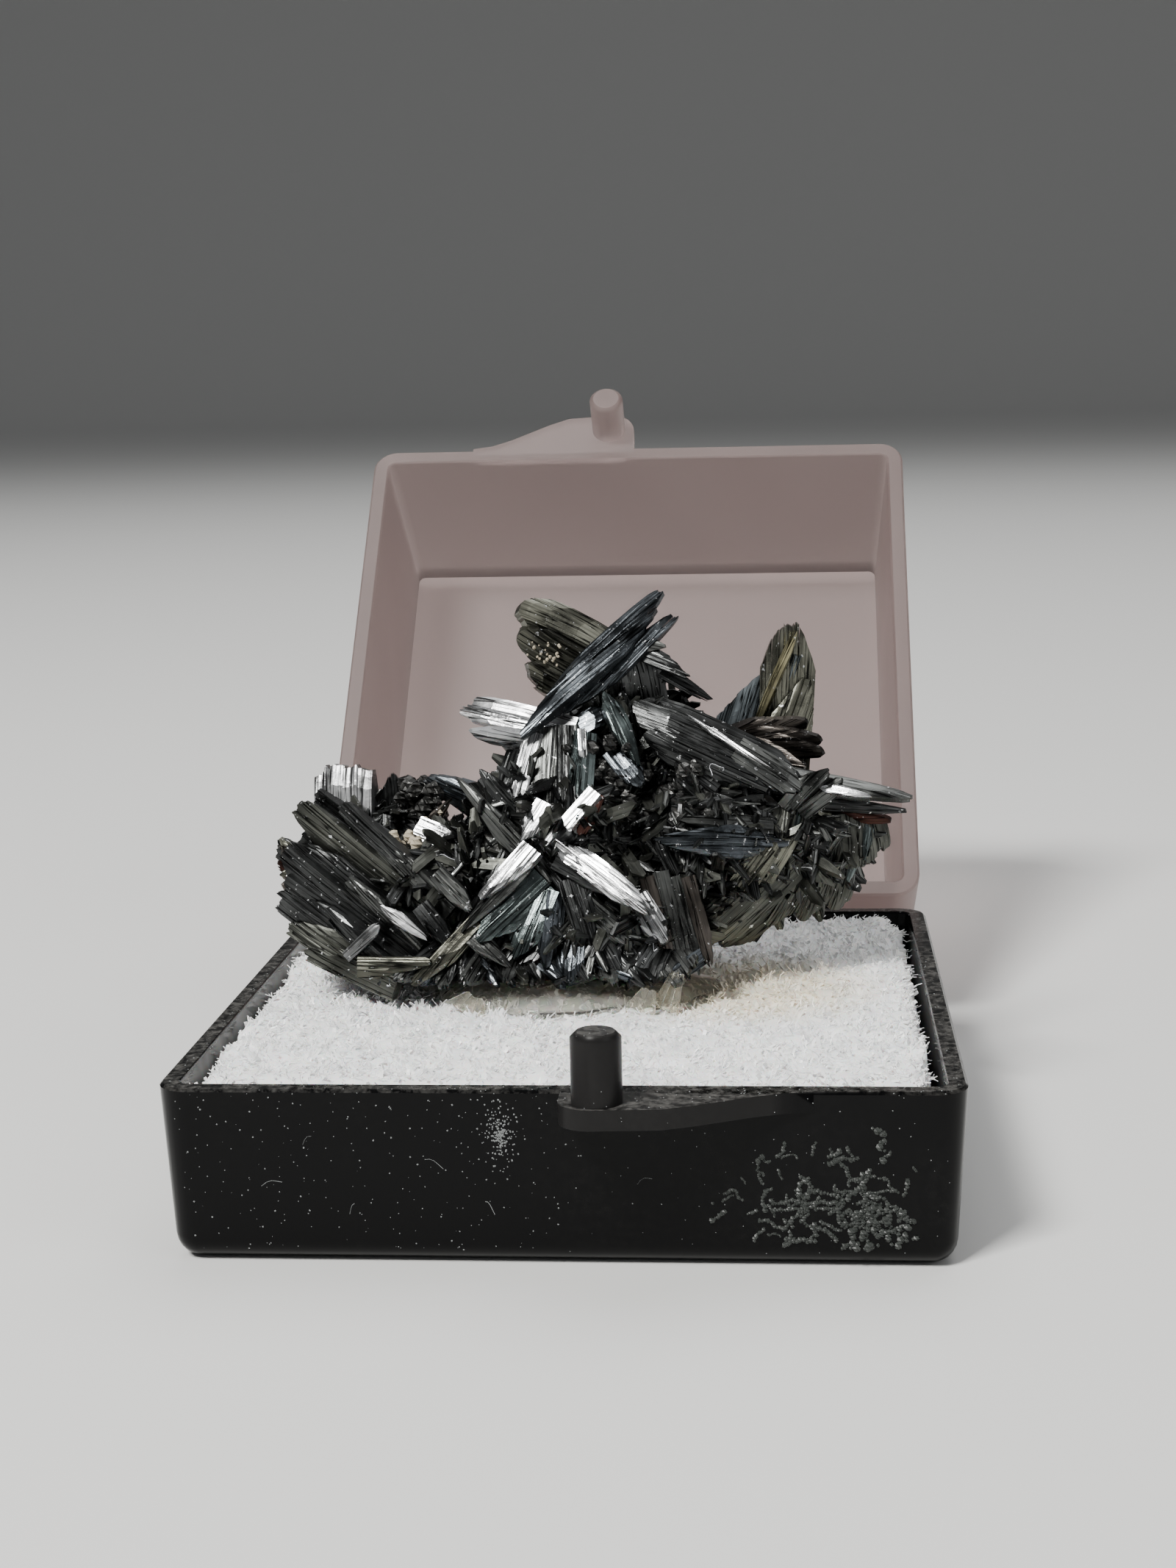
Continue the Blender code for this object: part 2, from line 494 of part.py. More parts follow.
def keep_largest(bm):
    """Delete loose points and the tiny closed pockets that a union leaves inside."""
    unseen = set(bm.verts)
    largest = set()
    while unseen:
        piece = set()
        border = [unseen.pop()]
        while border:
            vert = border.pop()
            piece.add(vert)
            for edge in vert.link_edges:
                other = edge.other_vert(vert)
                if other in unseen:
                    unseen.discard(other)
                    border.append(other)
        if len(piece) > len(largest):
            largest = piece
    bmesh.ops.delete(bm, geom=[vert for vert in bm.verts if vert not in largest], context="VERTS")


def make_cluster():
    """All crystals are grown together, so they end as one solid."""
    rng = random.Random(SEED)
    core = bmesh.new()
    lump(core, rng, (0.6, 3.2, 12.0), (5.0, 3.6, 3.2), 2)
    cluster = make_object("manganite_cluster", core, MANGANITE)
    grown = bmesh.new()
    for add in (add_core, add_crown, add_right, add_middle, add_left, add_small, add_back):
        add(grown, rng)
    combine(cluster, make_object("grown", grown, MANGANITE), "UNION")
    tidy = bmesh.new()
    tidy.from_mesh(cluster.data)
    keep_largest(tidy)
    bmesh.ops.triangulate(tidy, faces=tidy.faces)
    tidy.to_mesh(cluster.data)
    tidy.free()
    cluster.data.materials.clear()
    cluster.data.materials.append(MANGANITE)
    return cluster


clear_scene()
TRAY_PLASTIC = material("black_plastic", (0.012, 0.012, 0.013), 0.18)
CLEAR_PLASTIC = material("clear_plastic", (0.80, 0.76, 0.75), 0.15, alpha=0.35)
WHITE_FOAM = material("white_foam", (0.86, 0.86, 0.84), 0.95)
CLEAR_TACK = material("clear_tack", (0.78, 0.73, 0.58), 0.25, alpha=0.7)
MANGANITE = material("manganite", (0.10, 0.10, 0.098), 0.32, metallic=0.85)
make_tray()
make_lid()
make_foam()
make_tack()
make_cluster()
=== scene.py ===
# %% [markdown]
# # Manganite in a display box
# This lesson dresses a plain solid model of a mineral specimen: dark, striated blades of manganite,
# held by clear tack on white fibrous foam, in a small black box whose hazy clear lid stands open.
# The solid model is loaded as a fixed frame, and every piece made here rides on one of its bodies.

# %% Load the solid model
import math
import random

import bmesh
import bpy
from mathutils import Matrix, Vector, noise


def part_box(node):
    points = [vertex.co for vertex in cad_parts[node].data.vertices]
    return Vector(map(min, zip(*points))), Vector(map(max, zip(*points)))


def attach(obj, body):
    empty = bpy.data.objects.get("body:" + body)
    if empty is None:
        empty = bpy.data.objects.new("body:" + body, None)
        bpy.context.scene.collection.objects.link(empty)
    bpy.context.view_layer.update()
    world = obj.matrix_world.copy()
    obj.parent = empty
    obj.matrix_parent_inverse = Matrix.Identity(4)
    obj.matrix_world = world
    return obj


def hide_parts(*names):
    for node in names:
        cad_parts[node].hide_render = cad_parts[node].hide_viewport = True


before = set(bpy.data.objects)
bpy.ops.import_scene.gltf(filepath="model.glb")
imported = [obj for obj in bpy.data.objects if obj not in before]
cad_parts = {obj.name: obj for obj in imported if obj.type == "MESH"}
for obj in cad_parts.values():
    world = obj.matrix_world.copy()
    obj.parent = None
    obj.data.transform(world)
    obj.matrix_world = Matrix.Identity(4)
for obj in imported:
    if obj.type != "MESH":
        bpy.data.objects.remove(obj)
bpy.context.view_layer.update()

MM = 0.001
print("frame nodes:", sorted(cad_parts))


# %% [markdown]
# The camera stands where the photographer's did: a little above the box and to its right, a hand's
# breadth away. Its turn is given as three angles, and the lens is the focal length that the
# perspective of the box's four corners asks for, for a frame of 1600 by 2133 pixels.

# %% Camera
PHOTO_HEIGHT = 2133
FOCAL_PIXELS = 3202.9
SENSOR_MM = 36.0               # the frame's long side
CAMERA_PLACE = Vector((9.46, -106.94, 35.53)) * MM
CAMERA_TURN = math.radians(4.98)     # to the left
CAMERA_DIP = math.radians(9.69)      # below the horizon
CAMERA_ROLL = math.radians(-1.23)

camera_data = bpy.data.cameras.new("photo_camera")
camera_data.sensor_width = SENSOR_MM
camera_data.lens = FOCAL_PIXELS / PHOTO_HEIGHT * SENSOR_MM
camera_data.clip_start = MM
camera = bpy.data.objects.new("photo_camera", camera_data)
bpy.context.scene.collection.objects.link(camera)
turn = Matrix.Rotation(CAMERA_TURN, 4, "Z")
dip = Matrix.Rotation(math.pi / 2 - CAMERA_DIP, 4, "X")
roll = Matrix.Rotation(CAMERA_ROLL, 4, "Z")
camera.matrix_world = Matrix.Translation(CAMERA_PLACE) @ turn @ dip @ roll
bpy.context.scene.camera = camera
print("lens in mm:", round(camera_data.lens, 2))


# %% [markdown]
# A crystal face is a small mirror, so the lights decide which faces flash. One strong light stands
# high in front and to the left, and two wide, weak ones fill the shadows. The way a mirror has to
# look to throw the strong light into the camera is halfway between the two, and the blades that
# shine in the photo are laid to look that way. Those blades also get a painted highlight: their
# colour is a far lighter copy of the dark metal.

# %% Lights and the way a bright face looks
MIDDLE = Vector((0.0, 0.0, 14.0)) * MM
KEY_WAY = Vector((-0.42, -0.62, 0.86)).normalized()
KEY_DISTANCE = 0.55            # metres
WHITE = (1.0, 1.0, 1.0)
WARM_WHITE = (1.0, 0.99, 0.96)
to_camera = (CAMERA_PLACE - MIDDLE).normalized()
BRIGHT_WAY = (KEY_WAY + to_camera).normalized()


def soft_light(name, way, distance, size, watts, colour=WHITE):
    """A square studio light that looks at the specimen."""
    data = bpy.data.lights.new(name, "AREA")
    data.size = size
    data.energy = watts
    data.color = colour
    light = bpy.data.objects.new(name, data)
    bpy.context.scene.collection.objects.link(light)
    way = Vector(way).normalized()
    light.location = MIDDLE + way * distance
    light.rotation_mode = "QUATERNION"
    light.rotation_quaternion = way.to_track_quat("Z", "Y")


soft_light("key", KEY_WAY, KEY_DISTANCE, 0.14, 5.0, WARM_WHITE)
soft_light("fill", (0.9, -0.5, 0.5), 0.6, 0.4, 0.8)
soft_light("top", (0.1, 0.5, 1.0), 0.7, 0.6, 2.6)
print("a bright face looks along", [round(part, 2) for part in BRIGHT_WAY])


# %% [markdown]
# The specimen stands in a plain studio. A flat plane would end in a hard horizon behind the box, so
# the floor is one strip that runs back and bends up like a sheet of paper.

# %% Studio and floor
world = bpy.data.worlds.new("studio")
world.use_nodes = True
world.node_tree.nodes["Background"].inputs["Color"].default_value = (0.62, 0.63, 0.64, 1.0)
world.node_tree.nodes["Background"].inputs["Strength"].default_value = 0.24
bpy.context.scene.world = world

FLOOR_SIZE = 6.0               # metres
BEND_RADIUS = 0.9              # the floor sweeps up behind the box in a quarter circle
SWEEP_STEPS = 16


def sweeping_floor():
    """A pale floor that runs back and then bends up, so that no horizon shows."""
    half = FLOOR_SIZE / 2
    profile = [(-half, 0.0), (half - BEND_RADIUS, 0.0)]
    for step in range(1, SWEEP_STEPS + 1):
        angle = math.pi / 2 * step / SWEEP_STEPS
        back = half - BEND_RADIUS * (1 - math.sin(angle))
        profile.append((back, BEND_RADIUS * (1 - math.cos(angle))))
    profile.append((half, half))
    points = [(x, y, z) for y, z in profile for x in (-FLOOR_SIZE, FLOOR_SIZE)]
    faces = [(i, i + 1, i + 3, i + 2) for i in range(0, len(points) - 2, 2)]
    mesh = bpy.data.meshes.new("floor")
    mesh.from_pydata(points, [], faces)
    mesh.shade_smooth()
    return mesh


floor = bpy.data.objects.new("floor", sweeping_floor())
bpy.context.scene.collection.objects.link(floor)
print("floor points:", len(floor.data.vertices))


# %% [markdown]
# Materials are built from nodes. These helpers keep each recipe short: one starts a material, one
# adds a node and wires its inputs, and one turns a noise into a value between two limits.

# %% Material helpers
def new_material(name):
    mat = bpy.data.materials.new(name)
    mat.use_nodes = True
    return mat, mat.node_tree, mat.node_tree.nodes["Principled BSDF"]


def node(tree, kind, settings=None, **inputs):
    """Add a node; each input is a value or another node's output socket."""
    made = tree.nodes.new(kind)
    for key, value in (settings or {}).items():
        setattr(made, key, value)
    for key, value in inputs.items():
        socket = made.inputs[int(key[1:])] if key[0] == "_" else made.inputs[key.replace("_", " ")]
        if isinstance(value, bpy.types.NodeSocket):
            tree.links.new(value, socket)
        else:
            socket.default_value = value
    return made


def spread(tree, value, low, high, start=0.0, stop=1.0):
    """Map a value from start..stop to low..high."""
    made = node(tree, "ShaderNodeMapRange", Value=value, From_Min=start, From_Max=stop, To_Min=low,
                To_Max=high)
    return made.outputs["Result"]


def blend_colours(tree, share, first, second, mode="MIX"):
    made = node(tree, "ShaderNodeMix", {"data_type": "RGBA", "blend_type": mode}, _0=share, _6=first,
                _7=second)
    return made.outputs[2]


def bumps(tree, height, distance, strength=1.0, under=None):
    made = node(tree, "ShaderNodeBump", Height=height, Distance=distance, Strength=strength)
    if under is not None:
        tree.links.new(under, made.inputs["Normal"])
    return made.outputs["Normal"]


print("material helpers ready")


# %% [markdown]
# The floor has the simplest material of all: one pale grey and a dull surface, so that it shows the
# shadows softly and draws no eye.

# %% Pale floor
floor_mat, _, floor_shader = new_material("pale_floor")
floor_shader.inputs["Base Color"].default_value = (0.70, 0.70, 0.69, 1.0)
floor_shader.inputs["Roughness"].default_value = 0.8
floor.data.materials.append(floor_mat)
print("floor is", FLOOR_SIZE, "m wide")


# %% [markdown]
# Meshes are gathered as plain lists of points and faces, in millimetres, and become objects in
# metres at the end. With the points go two things that the materials read: a grain map, which runs
# across and along each crystal, and a tint, whose fourth number says how polished the face is.

# %% A gatherer for mesh pieces
class Form:
    """Points, faces, grain map and tints of one piece, in millimetres."""

    def __init__(self):
        self.points = []
        self.faces = []
        self.grain = []
        self.tints = []

    def add(self, points, faces, grain=None, tint=(0.0, 0.0, 0.0, 0.0)):
        start = len(self.points)
        self.points.extend(points)
        self.faces.extend([tuple(start + i for i in face) for face in faces])
        self.grain.extend(grain or [(0.0, 0.0)] * len(points))
        self.tints.extend([tint] * len(points))

    def finish(self, name, material, body="tray", slot=None):
        mesh = bpy.data.meshes.new(name)
        mesh.from_pydata([Vector(point) * MM for point in self.points], [], self.faces)
        uv = mesh.uv_layers.new(name="grain")
        corners = [loop.vertex_index for loop in mesh.loops]
        uv.data.foreach_set("uv", [part for i in corners for part in self.grain[i]])
        tint = mesh.color_attributes.new("tint", "FLOAT_COLOR", "POINT")
        tint.data.foreach_set("color", [part for colour in self.tints for part in colour])
        mesh.materials.append(material)
        return place(name, mesh, body)


def place(name, mesh, body="tray"):
    """Put a finished mesh in the scene, riding on a body of the box."""
    obj = bpy.data.objects.new(name, mesh)
    bpy.context.scene.collection.objects.link(obj)
    if body:
        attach(obj, body)
    return obj


def triangles(obj):
    obj.data.calc_loop_triangles()
    return len(obj.data.loop_triangles)


print("mesh gatherer ready")


# %% [markdown]
# The tray is one glossy black moulding, never quite clean: dust lies on its ledges and clings to
# its walls, and its latch is dulled by fingers. Grains on every wall would cost far too many faces,
# so the thin film of dust is part of the material: a pale layer mixed in where the surface looks up
# and where a fine noise is high. Only the coarse grains are made as shapes, further on.

# %% Black plastic
LATCH_BEYOND = -16.6 * MM      # the latch stands out past this y, and fingers have dulled it


def black_plastic():
    mat, tree, shader = new_material("dusty_black_plastic")
    place_at = node(tree, "ShaderNodeTexCoord").outputs["Object"]
    normal = node(tree, "ShaderNodeNewGeometry").outputs["Normal"]
    up = node(tree, "ShaderNodeSeparateXYZ", Vector=normal).outputs["Z"]
    film = node(tree, "ShaderNodeTexNoise", Vector=place_at, Scale=2600.0, Detail=5.0,
                Roughness=0.7).outputs["Fac"]
    cloud = node(tree, "ShaderNodeTexNoise", Vector=place_at, Scale=140.0, Detail=3.0).outputs["Fac"]
    ledge = spread(tree, up, 0.0, 0.22, 0.5, 1.0)
    veil = spread(tree, cloud, 0.0, 0.012, 0.45, 0.75)
    both = node(tree, "ShaderNodeMath", {"operation": "ADD"}, _0=ledge, _1=veil).outputs[0]
    depth = node(tree, "ShaderNodeSeparateXYZ", Vector=place_at).outputs["Y"]
    handled = spread(tree, depth, 0.2, 0.0, LATCH_BEYOND - 0.3 * MM, LATCH_BEYOND)
    grains = spread(tree, film, 0.0, 1.0, 0.42, 0.66)
    dust = node(tree, "ShaderNodeMath", {"operation": "MULTIPLY"}, _0=both, _1=grains).outputs[0]
    black = blend_colours(tree, handled, (0.0018, 0.0018, 0.0020, 1.0), (0.05, 0.048, 0.047, 1.0))
    tree.links.new(blend_colours(tree, dust, black, (0.34, 0.33, 0.31, 1.0)), shader.inputs["Base Color"])
    shader.inputs["Specular IOR Level"].default_value = 0.12
    gloss = spread(tree, cloud, 0.10, 0.18, 0.3, 0.7)
    rubbed = node(tree, "ShaderNodeMath", {"operation": "ADD"}, _0=dust, _1=handled).outputs[0]
    dulled = node(tree, "ShaderNodeMath", {"operation": "ADD"}, _0=gloss, _1=rubbed)
    tree.links.new(dulled.outputs[0], shader.inputs["Roughness"])
    ripple = node(tree, "ShaderNodeTexNoise", Vector=place_at, Scale=900.0, Detail=2.0).outputs["Fac"]
    tree.links.new(bumps(tree, ripple, 0.00001, 0.25), shader.inputs["Normal"])
    return mat


BLACK_PLASTIC = black_plastic()
print("black plastic ready")


# %% [markdown]
# The solid model already has the tray's shape, but its mesh is loose triangles, shaded in facets. It
# could be smoothed with Shade Smooth alone, which leaves wedges of false shade on the flat walls. So
# a copy is merged, its flat faces are joined into one each, and a Weighted Normal modifier lets those
# large faces rule the shading of the round corners beside them.

# %% The tray
MERGE_WITHIN = 0.005           # millimetres
FLAT_WITHIN = math.radians(0.6)      # triangles that lie this flat become one face
SHARP_FROM = math.radians(35.0)      # steeper edges stay sharp


def smooth_copy(node_name, new_name, material, body):
    """A merged, smoothly shaded copy of a node of the solid model, which stands for it."""
    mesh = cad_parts[node_name].data.copy()
    form = bmesh.new()
    form.from_mesh(mesh)
    bmesh.ops.remove_doubles(form, verts=form.verts, dist=MERGE_WITHIN * MM)
    bmesh.ops.dissolve_limit(form, angle_limit=FLAT_WITHIN, verts=form.verts, edges=form.edges)
    form.to_mesh(mesh)
    form.free()
    mesh.shade_smooth()
    mesh.set_sharp_from_angle(angle=SHARP_FROM)
    mesh.materials.clear()
    mesh.materials.append(material)
    obj = place(new_name, mesh, body=None)
    obj.modifiers.new("flat_faces_first", "WEIGHTED_NORMAL").keep_sharp = True
    obj.data = bpy.data.meshes.new_from_object(obj.evaluated_get(bpy.context.evaluated_depsgraph_get()))
    obj.modifiers.clear()
    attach(obj, body)
    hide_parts(node_name)
    return obj


tray = smooth_copy("box_base", "tray_shell", BLACK_PLASTIC, "tray")
print("tray triangles:", triangles(tray))


# %% [markdown]
# The lid is the tray's clear partner, gone hazy with age and with the faintest pink in it. Fading
# it with alpha would be quick, but light would go straight through. So it is real see-through
# plastic, with transmission: light bends a little and is scattered by the worn surfaces, and what
# stands behind the lid shows as a soft shade.

# %% Hazy clear plastic
def clear_plastic():
    mat, tree, shader = new_material("hazy_clear_plastic")
    place_at = node(tree, "ShaderNodeTexCoord").outputs["Object"]
    shader.inputs["Base Color"].default_value = (0.53, 0.425, 0.41, 1.0)
    shader.inputs["Transmission Weight"].default_value = 0.92
    shader.inputs["IOR"].default_value = 1.49
    wear = node(tree, "ShaderNodeTexNoise", Vector=place_at, Scale=180.0, Detail=4.0).outputs["Fac"]
    tree.links.new(spread(tree, wear, 0.48, 0.54, 0.3, 0.7), shader.inputs["Roughness"])
    return mat


lid = smooth_copy("box_lid", "lid_shell", clear_plastic(), "lid")
print("lid triangles:", triangles(lid))


# %% [markdown]
# Manganite is a heavy, iron-black mineral with a half-metallic shine. Its blades are bundles of
# thin laths, so their faces carry fine lines along their length and they end in ragged steps. The
# lines that are too fine to model come from a noise on the grain map, stretched along the crystal:
# it drives the shade, the polish and a small bump. Light and shade are also painted into the colour:
# painted shade darkens fine cracks nearly to black, and tiny near-white spots are painted glints.

# %% Manganite
def manganite():
    mat, tree, shader = new_material("manganite_blades")
    grain = node(tree, "ShaderNodeUVMap", {"uv_map": "grain"}).outputs["UV"]
    tint = node(tree, "ShaderNodeAttribute", {"attribute_name": "tint"})
    lines_at = node(tree, "ShaderNodeMapping", Vector=grain, Scale=(9.0, 0.18, 1.0)).outputs["Vector"]
    lines = node(tree, "ShaderNodeTexNoise", Vector=lines_at, Scale=1.0, Detail=4.0,
                 Roughness=0.6).outputs["Fac"]
    cracks_at = node(tree, "ShaderNodeMapping", Vector=grain, Scale=(3.2, 0.14, 1.0),
                     Location=(7.0, 3.0, 0.0))
    cracks = node(tree, "ShaderNodeTexNoise", Vector=cracks_at.outputs["Vector"], Scale=1.0,
                  Detail=3.0).outputs["Fac"]
    # Painted shade: along narrow crack lines the colour falls nearly to black, as shade in an open gap would.
    middle = node(tree, "ShaderNodeMath", {"operation": "SUBTRACT"}, _0=cracks, _1=0.5).outputs[0]
    beside = node(tree, "ShaderNodeMath", {"operation": "ABSOLUTE"}, _0=middle).outputs[0]
    painted_crack_shade = spread(tree, beside, 0.05, 1.0, 0.006, 0.035)
    place_at = node(tree, "ShaderNodeTexCoord").outputs["Object"]
    pits = node(tree, "ShaderNodeTexNoise", Vector=place_at, Scale=3600.0, Detail=3.0,
                Roughness=0.65).outputs["Fac"]
    patches = node(tree, "ShaderNodeTexNoise", Vector=place_at, Scale=520.0, Detail=3.0).outputs["Fac"]
    shade = spread(tree, lines, 0.6, 1.25, 0.3, 0.72)
    lined = node(tree, "ShaderNodeMath", {"operation": "MULTIPLY"}, _0=shade, _1=painted_crack_shade).outputs[0]
    shaded = node(tree, "ShaderNodeVectorMath", {"operation": "SCALE"}, _0=tint.outputs["Color"],
                  Scale=lined)
    mottled = node(tree, "ShaderNodeVectorMath", {"operation": "SCALE"}, _0=shaded.outputs[0],
                   Scale=spread(tree, patches, 0.45, 1.5, 0.32, 0.68))
    # Painted glints: where the fine noise peaks, the colour is pushed to near white, standing in for tiny
    # sparkles of light.
    painted_glints = spread(tree, pits, 0.0, 1.0, 0.66, 0.70)
    with_painted_glints = blend_colours(tree, painted_glints, mottled.outputs[0], (0.75, 0.76, 0.78, 1.0))
    tree.links.new(with_painted_glints, shader.inputs["Base Color"])
    shader.inputs["Metallic"].default_value = 0.9
    dull = spread(tree, tint.outputs["Alpha"], 0.42, 0.10)
    roughness = node(tree, "ShaderNodeMath", {"operation": "ADD"}, _0=dull,
                     _1=spread(tree, patches, -0.06, 0.12, 0.3, 0.7))
    tree.links.new(roughness.outputs[0], shader.inputs["Roughness"])
    fine = bumps(tree, pits, 0.00002, 0.6)
    tree.links.new(bumps(tree, lines, 0.00002, 0.5, fine), shader.inputs["Normal"])
    return mat


MANGANITE = manganite()
print("manganite has", len(MANGANITE.node_tree.nodes), "nodes")


# %% [markdown]
# One material serves every crystal, and the blades differ by their tint, which is painted on their
# points: three numbers for the metal's colour and one for its polish. A dozen materials would do the
# same, but a tint can also be varied a little from lath to lath.

# %% Tints of the crystals
STEEL = (0.105, 0.109, 0.105, 0.45)
DARK = (0.052, 0.054, 0.054, 0.40)
SLATE = (0.080, 0.090, 0.100, 0.65)
TEAL = (0.100, 0.122, 0.121, 0.60)
OLIVE = (0.160, 0.160, 0.130, 0.50)
BROWN = (0.075, 0.066, 0.059, 0.40)
RUST = (0.100, 0.045, 0.036, 0.25)
# A painted highlight: a far lighter copy of the dark metal for blades that flash, which are also turned to
# catch the key light.
PAINTED_FLASH = (0.70, 0.71, 0.72, 0.62)
print("manganite ready, in 8 tints")


# %% [markdown]
# One blade is a bundle of laths laid side by side round a thinner slab. Each lath is a thin bar
# with a ridged front and back, turned a little and set a little forward or back of its neighbour.
# A rule says how far the blade reaches at each point across it, so that the bundle narrows to a
# slanting, ragged tip. A few loose splinters lie along the faces.

# %% Laths
LATH_WIDTH = 0.34              # millimetres, before they overlap
LATH_STEP = 0.04               # how far a lath stands forward or back of the blade's face
LATH_TWIST = 0.06              # radians
RIDGES = 4                     # lines modelled on each face of a lath
RIDGE_DEPTH = 0.025
LEVELS = (0.0, 0.22, 0.55, 0.8, 0.93, 1.0)     # where its rings of points are, along its length
THINS_FROM = 0.55              # share of its length after which it thins towards the tip
HEEL_UNTIL = 0.3               # and before which it thins towards the heel, where it has one
THINNING = 0.62
dice = random.Random(7)


def lath(form, root, along, side, flat, starts, ends, width, thick, tint, levels=LEVELS):
    """Add one ridged bar; starts and ends say where each of its lines begins and stops."""
    columns = len(ends)
    depth = min(RIDGE_DEPTH / thick, 0.2)
    front = [0.5 - dice.uniform(0.0, depth) for _ in range(columns)]
    back = [0.5 - dice.uniform(0.0, depth) for _ in range(columns)]
    twist = dice.uniform(-LATH_TWIST, LATH_TWIST)
    old_side, old_flat = side, flat
    side = old_side * math.cos(twist) + old_flat * math.sin(twist)
    flat = old_flat * math.cos(twist) - old_side * math.sin(twist)
    shift = Vector((dice.uniform(0, 40), dice.uniform(0, 40)))
    heel = max(starts) > 0.0
    points, grain = [], []
    for level in levels:
        late = max(0.0, (level - THINS_FROM) / (1.0 - THINS_FROM))
        early = max(0.0, (HEEL_UNTIL - level) / HEEL_UNTIL) if heel else 0.0
        size = 1.0 - THINNING * max(late, early) ** 2
        for face, heights in ((1, front), (-1, back)):
            order = range(columns) if face == 1 else reversed(range(columns))
            for i in order:
                across = (i / (columns - 1) - 0.5) * width
                reach = starts[i] + (ends[i] - starts[i]) * level
                out = face * heights[i] * thick * size
                points.append(root + along * reach + side * across + flat * out)
                grain.append((shift.x + across + face * 3.0, shift.y + reach))
    faces = []
    ring = 2 * columns
    for row in range(len(levels) - 1):
        for i in range(ring):
            j = (i + 1) % ring
            faces.append((row * ring + i, (row + 1) * ring + i, (row + 1) * ring + j, row * ring + j))
    last = (len(levels) - 1) * ring
    for i in range(columns - 1):
        faces.append((i, i + 1, ring - 2 - i, ring - 1 - i))
        faces.append((last + i + 1, last + i, last + ring - 1 - i, last + ring - 2 - i))
    form.add(points, faces, grain, tint)


print("laths have", len(LEVELS), "rings of", 2 * (RIDGES + 1), "points")


# %% [markdown]
# Where a crystal has been bumped, needles of it stand off its faces. They catch the light as thin
# lines. Each is a four-sided needle of three rings: so small a thing needs no more.

# %% Splinters
def splinter(form, root, along, side, flat, length, width, tint):
    """Add one thin needle with a pointed end."""
    points = []
    for level, size in ((0.0, 0.5), (0.5, 1.0), (1.0, 0.1)):
        middle = root + along * (length * level)
        for turn in range(4):
            angle = math.pi / 2 * turn + 0.5
            out = side * math.cos(angle) + flat * 0.5 * math.sin(angle)
            points.append(middle + out * (width * size / 2))
    faces = [(0, 1, 2, 3), (11, 10, 9, 8)]
    for row in range(2):
        for i in range(4):
            j = (i + 1) % 4
            faces.append((row * 4 + i, (row + 1) * 4 + i, (row + 1) * 4 + j, row * 4 + j))
    grain = [(i % 4 * 0.2 + length, i // 4 * length) for i in range(12)]
    form.add(points, faces, grain, tint)


print("splinters ready")


# %% [markdown]
# No two laths are quite alike, so their tints are drawn a little lighter or darker. And a blade that
# flashes in the photo has to look the bright way: its tip is moved in depth, where the photo can't
# measure it, until the broad side can face halfway between the light and the camera.

# %% Varied tints and faces that catch the light
def varied(tint, amount=0.22):
    """The same tint a little lighter or darker, and a little more or less polished."""
    light = dice.uniform(1 - amount, 1 + amount)
    polish = min(max(tint[3] + dice.uniform(-0.15, 0.15), 0.0), 1.0)
    return (tint[0] * light, tint[1] * light, tint[2] * light, polish)


def darker(tint, share):
    return (tint[0] * share, tint[1] * share, tint[2] * share, tint[3] * share)


BRIGHT = tuple(BRIGHT_WAY)


def square_to_light(root, tip):
    """The tip moved in depth until the blade's broad side can look the bright way."""
    moved = Vector(tip)
    moved.y -= (moved - Vector(root)).dot(BRIGHT_WAY) / BRIGHT_WAY.y
    return moved


print("steel at half strength:", [round(part, 3) for part in darker(STEEL, 0.5)])


# %% [markdown]
# A manganite blade is flat, ridged along its length and blunt or slanting at its tip. A stretched cube
# with a bump map has the outline but not the ragged end, which is what makes these crystals look
# like charred wood. So a blade is built up as it grew: a core darkened with painted shade, so that
# the gaps between its laths read dark, laths of unequal width laid side by side round it, each
# ending a little early or late, and splinters on the faces.

# %% A blade
def fall_off(across, skew, flat_share):
    """0 along the flat of a blade's end, growing to 1 at its far edge."""
    off = abs(across - skew) / (0.5 + abs(skew))
    return (max(0.0, off - flat_share) / (1.0 - flat_share)) ** 1.2


# The core's colour is darkened as painted shade, so that it reads dark in the gaps between the laths.
CORE_REACH, CORE_WIDTH, CORE_THICKNESS, CORE_PAINTED_SHADE = 0.94, 0.86, 0.62, 0.45    # shares of the blade's
LATH_SHARES = (0.35, 0.6, 1.0, 1.7)      # laths are narrow or wide by these
OVERLAP = 1.04                 # laths are this much wider than their place
EDGE_THINNING = 0.55           # a blade is thinner towards its long edges


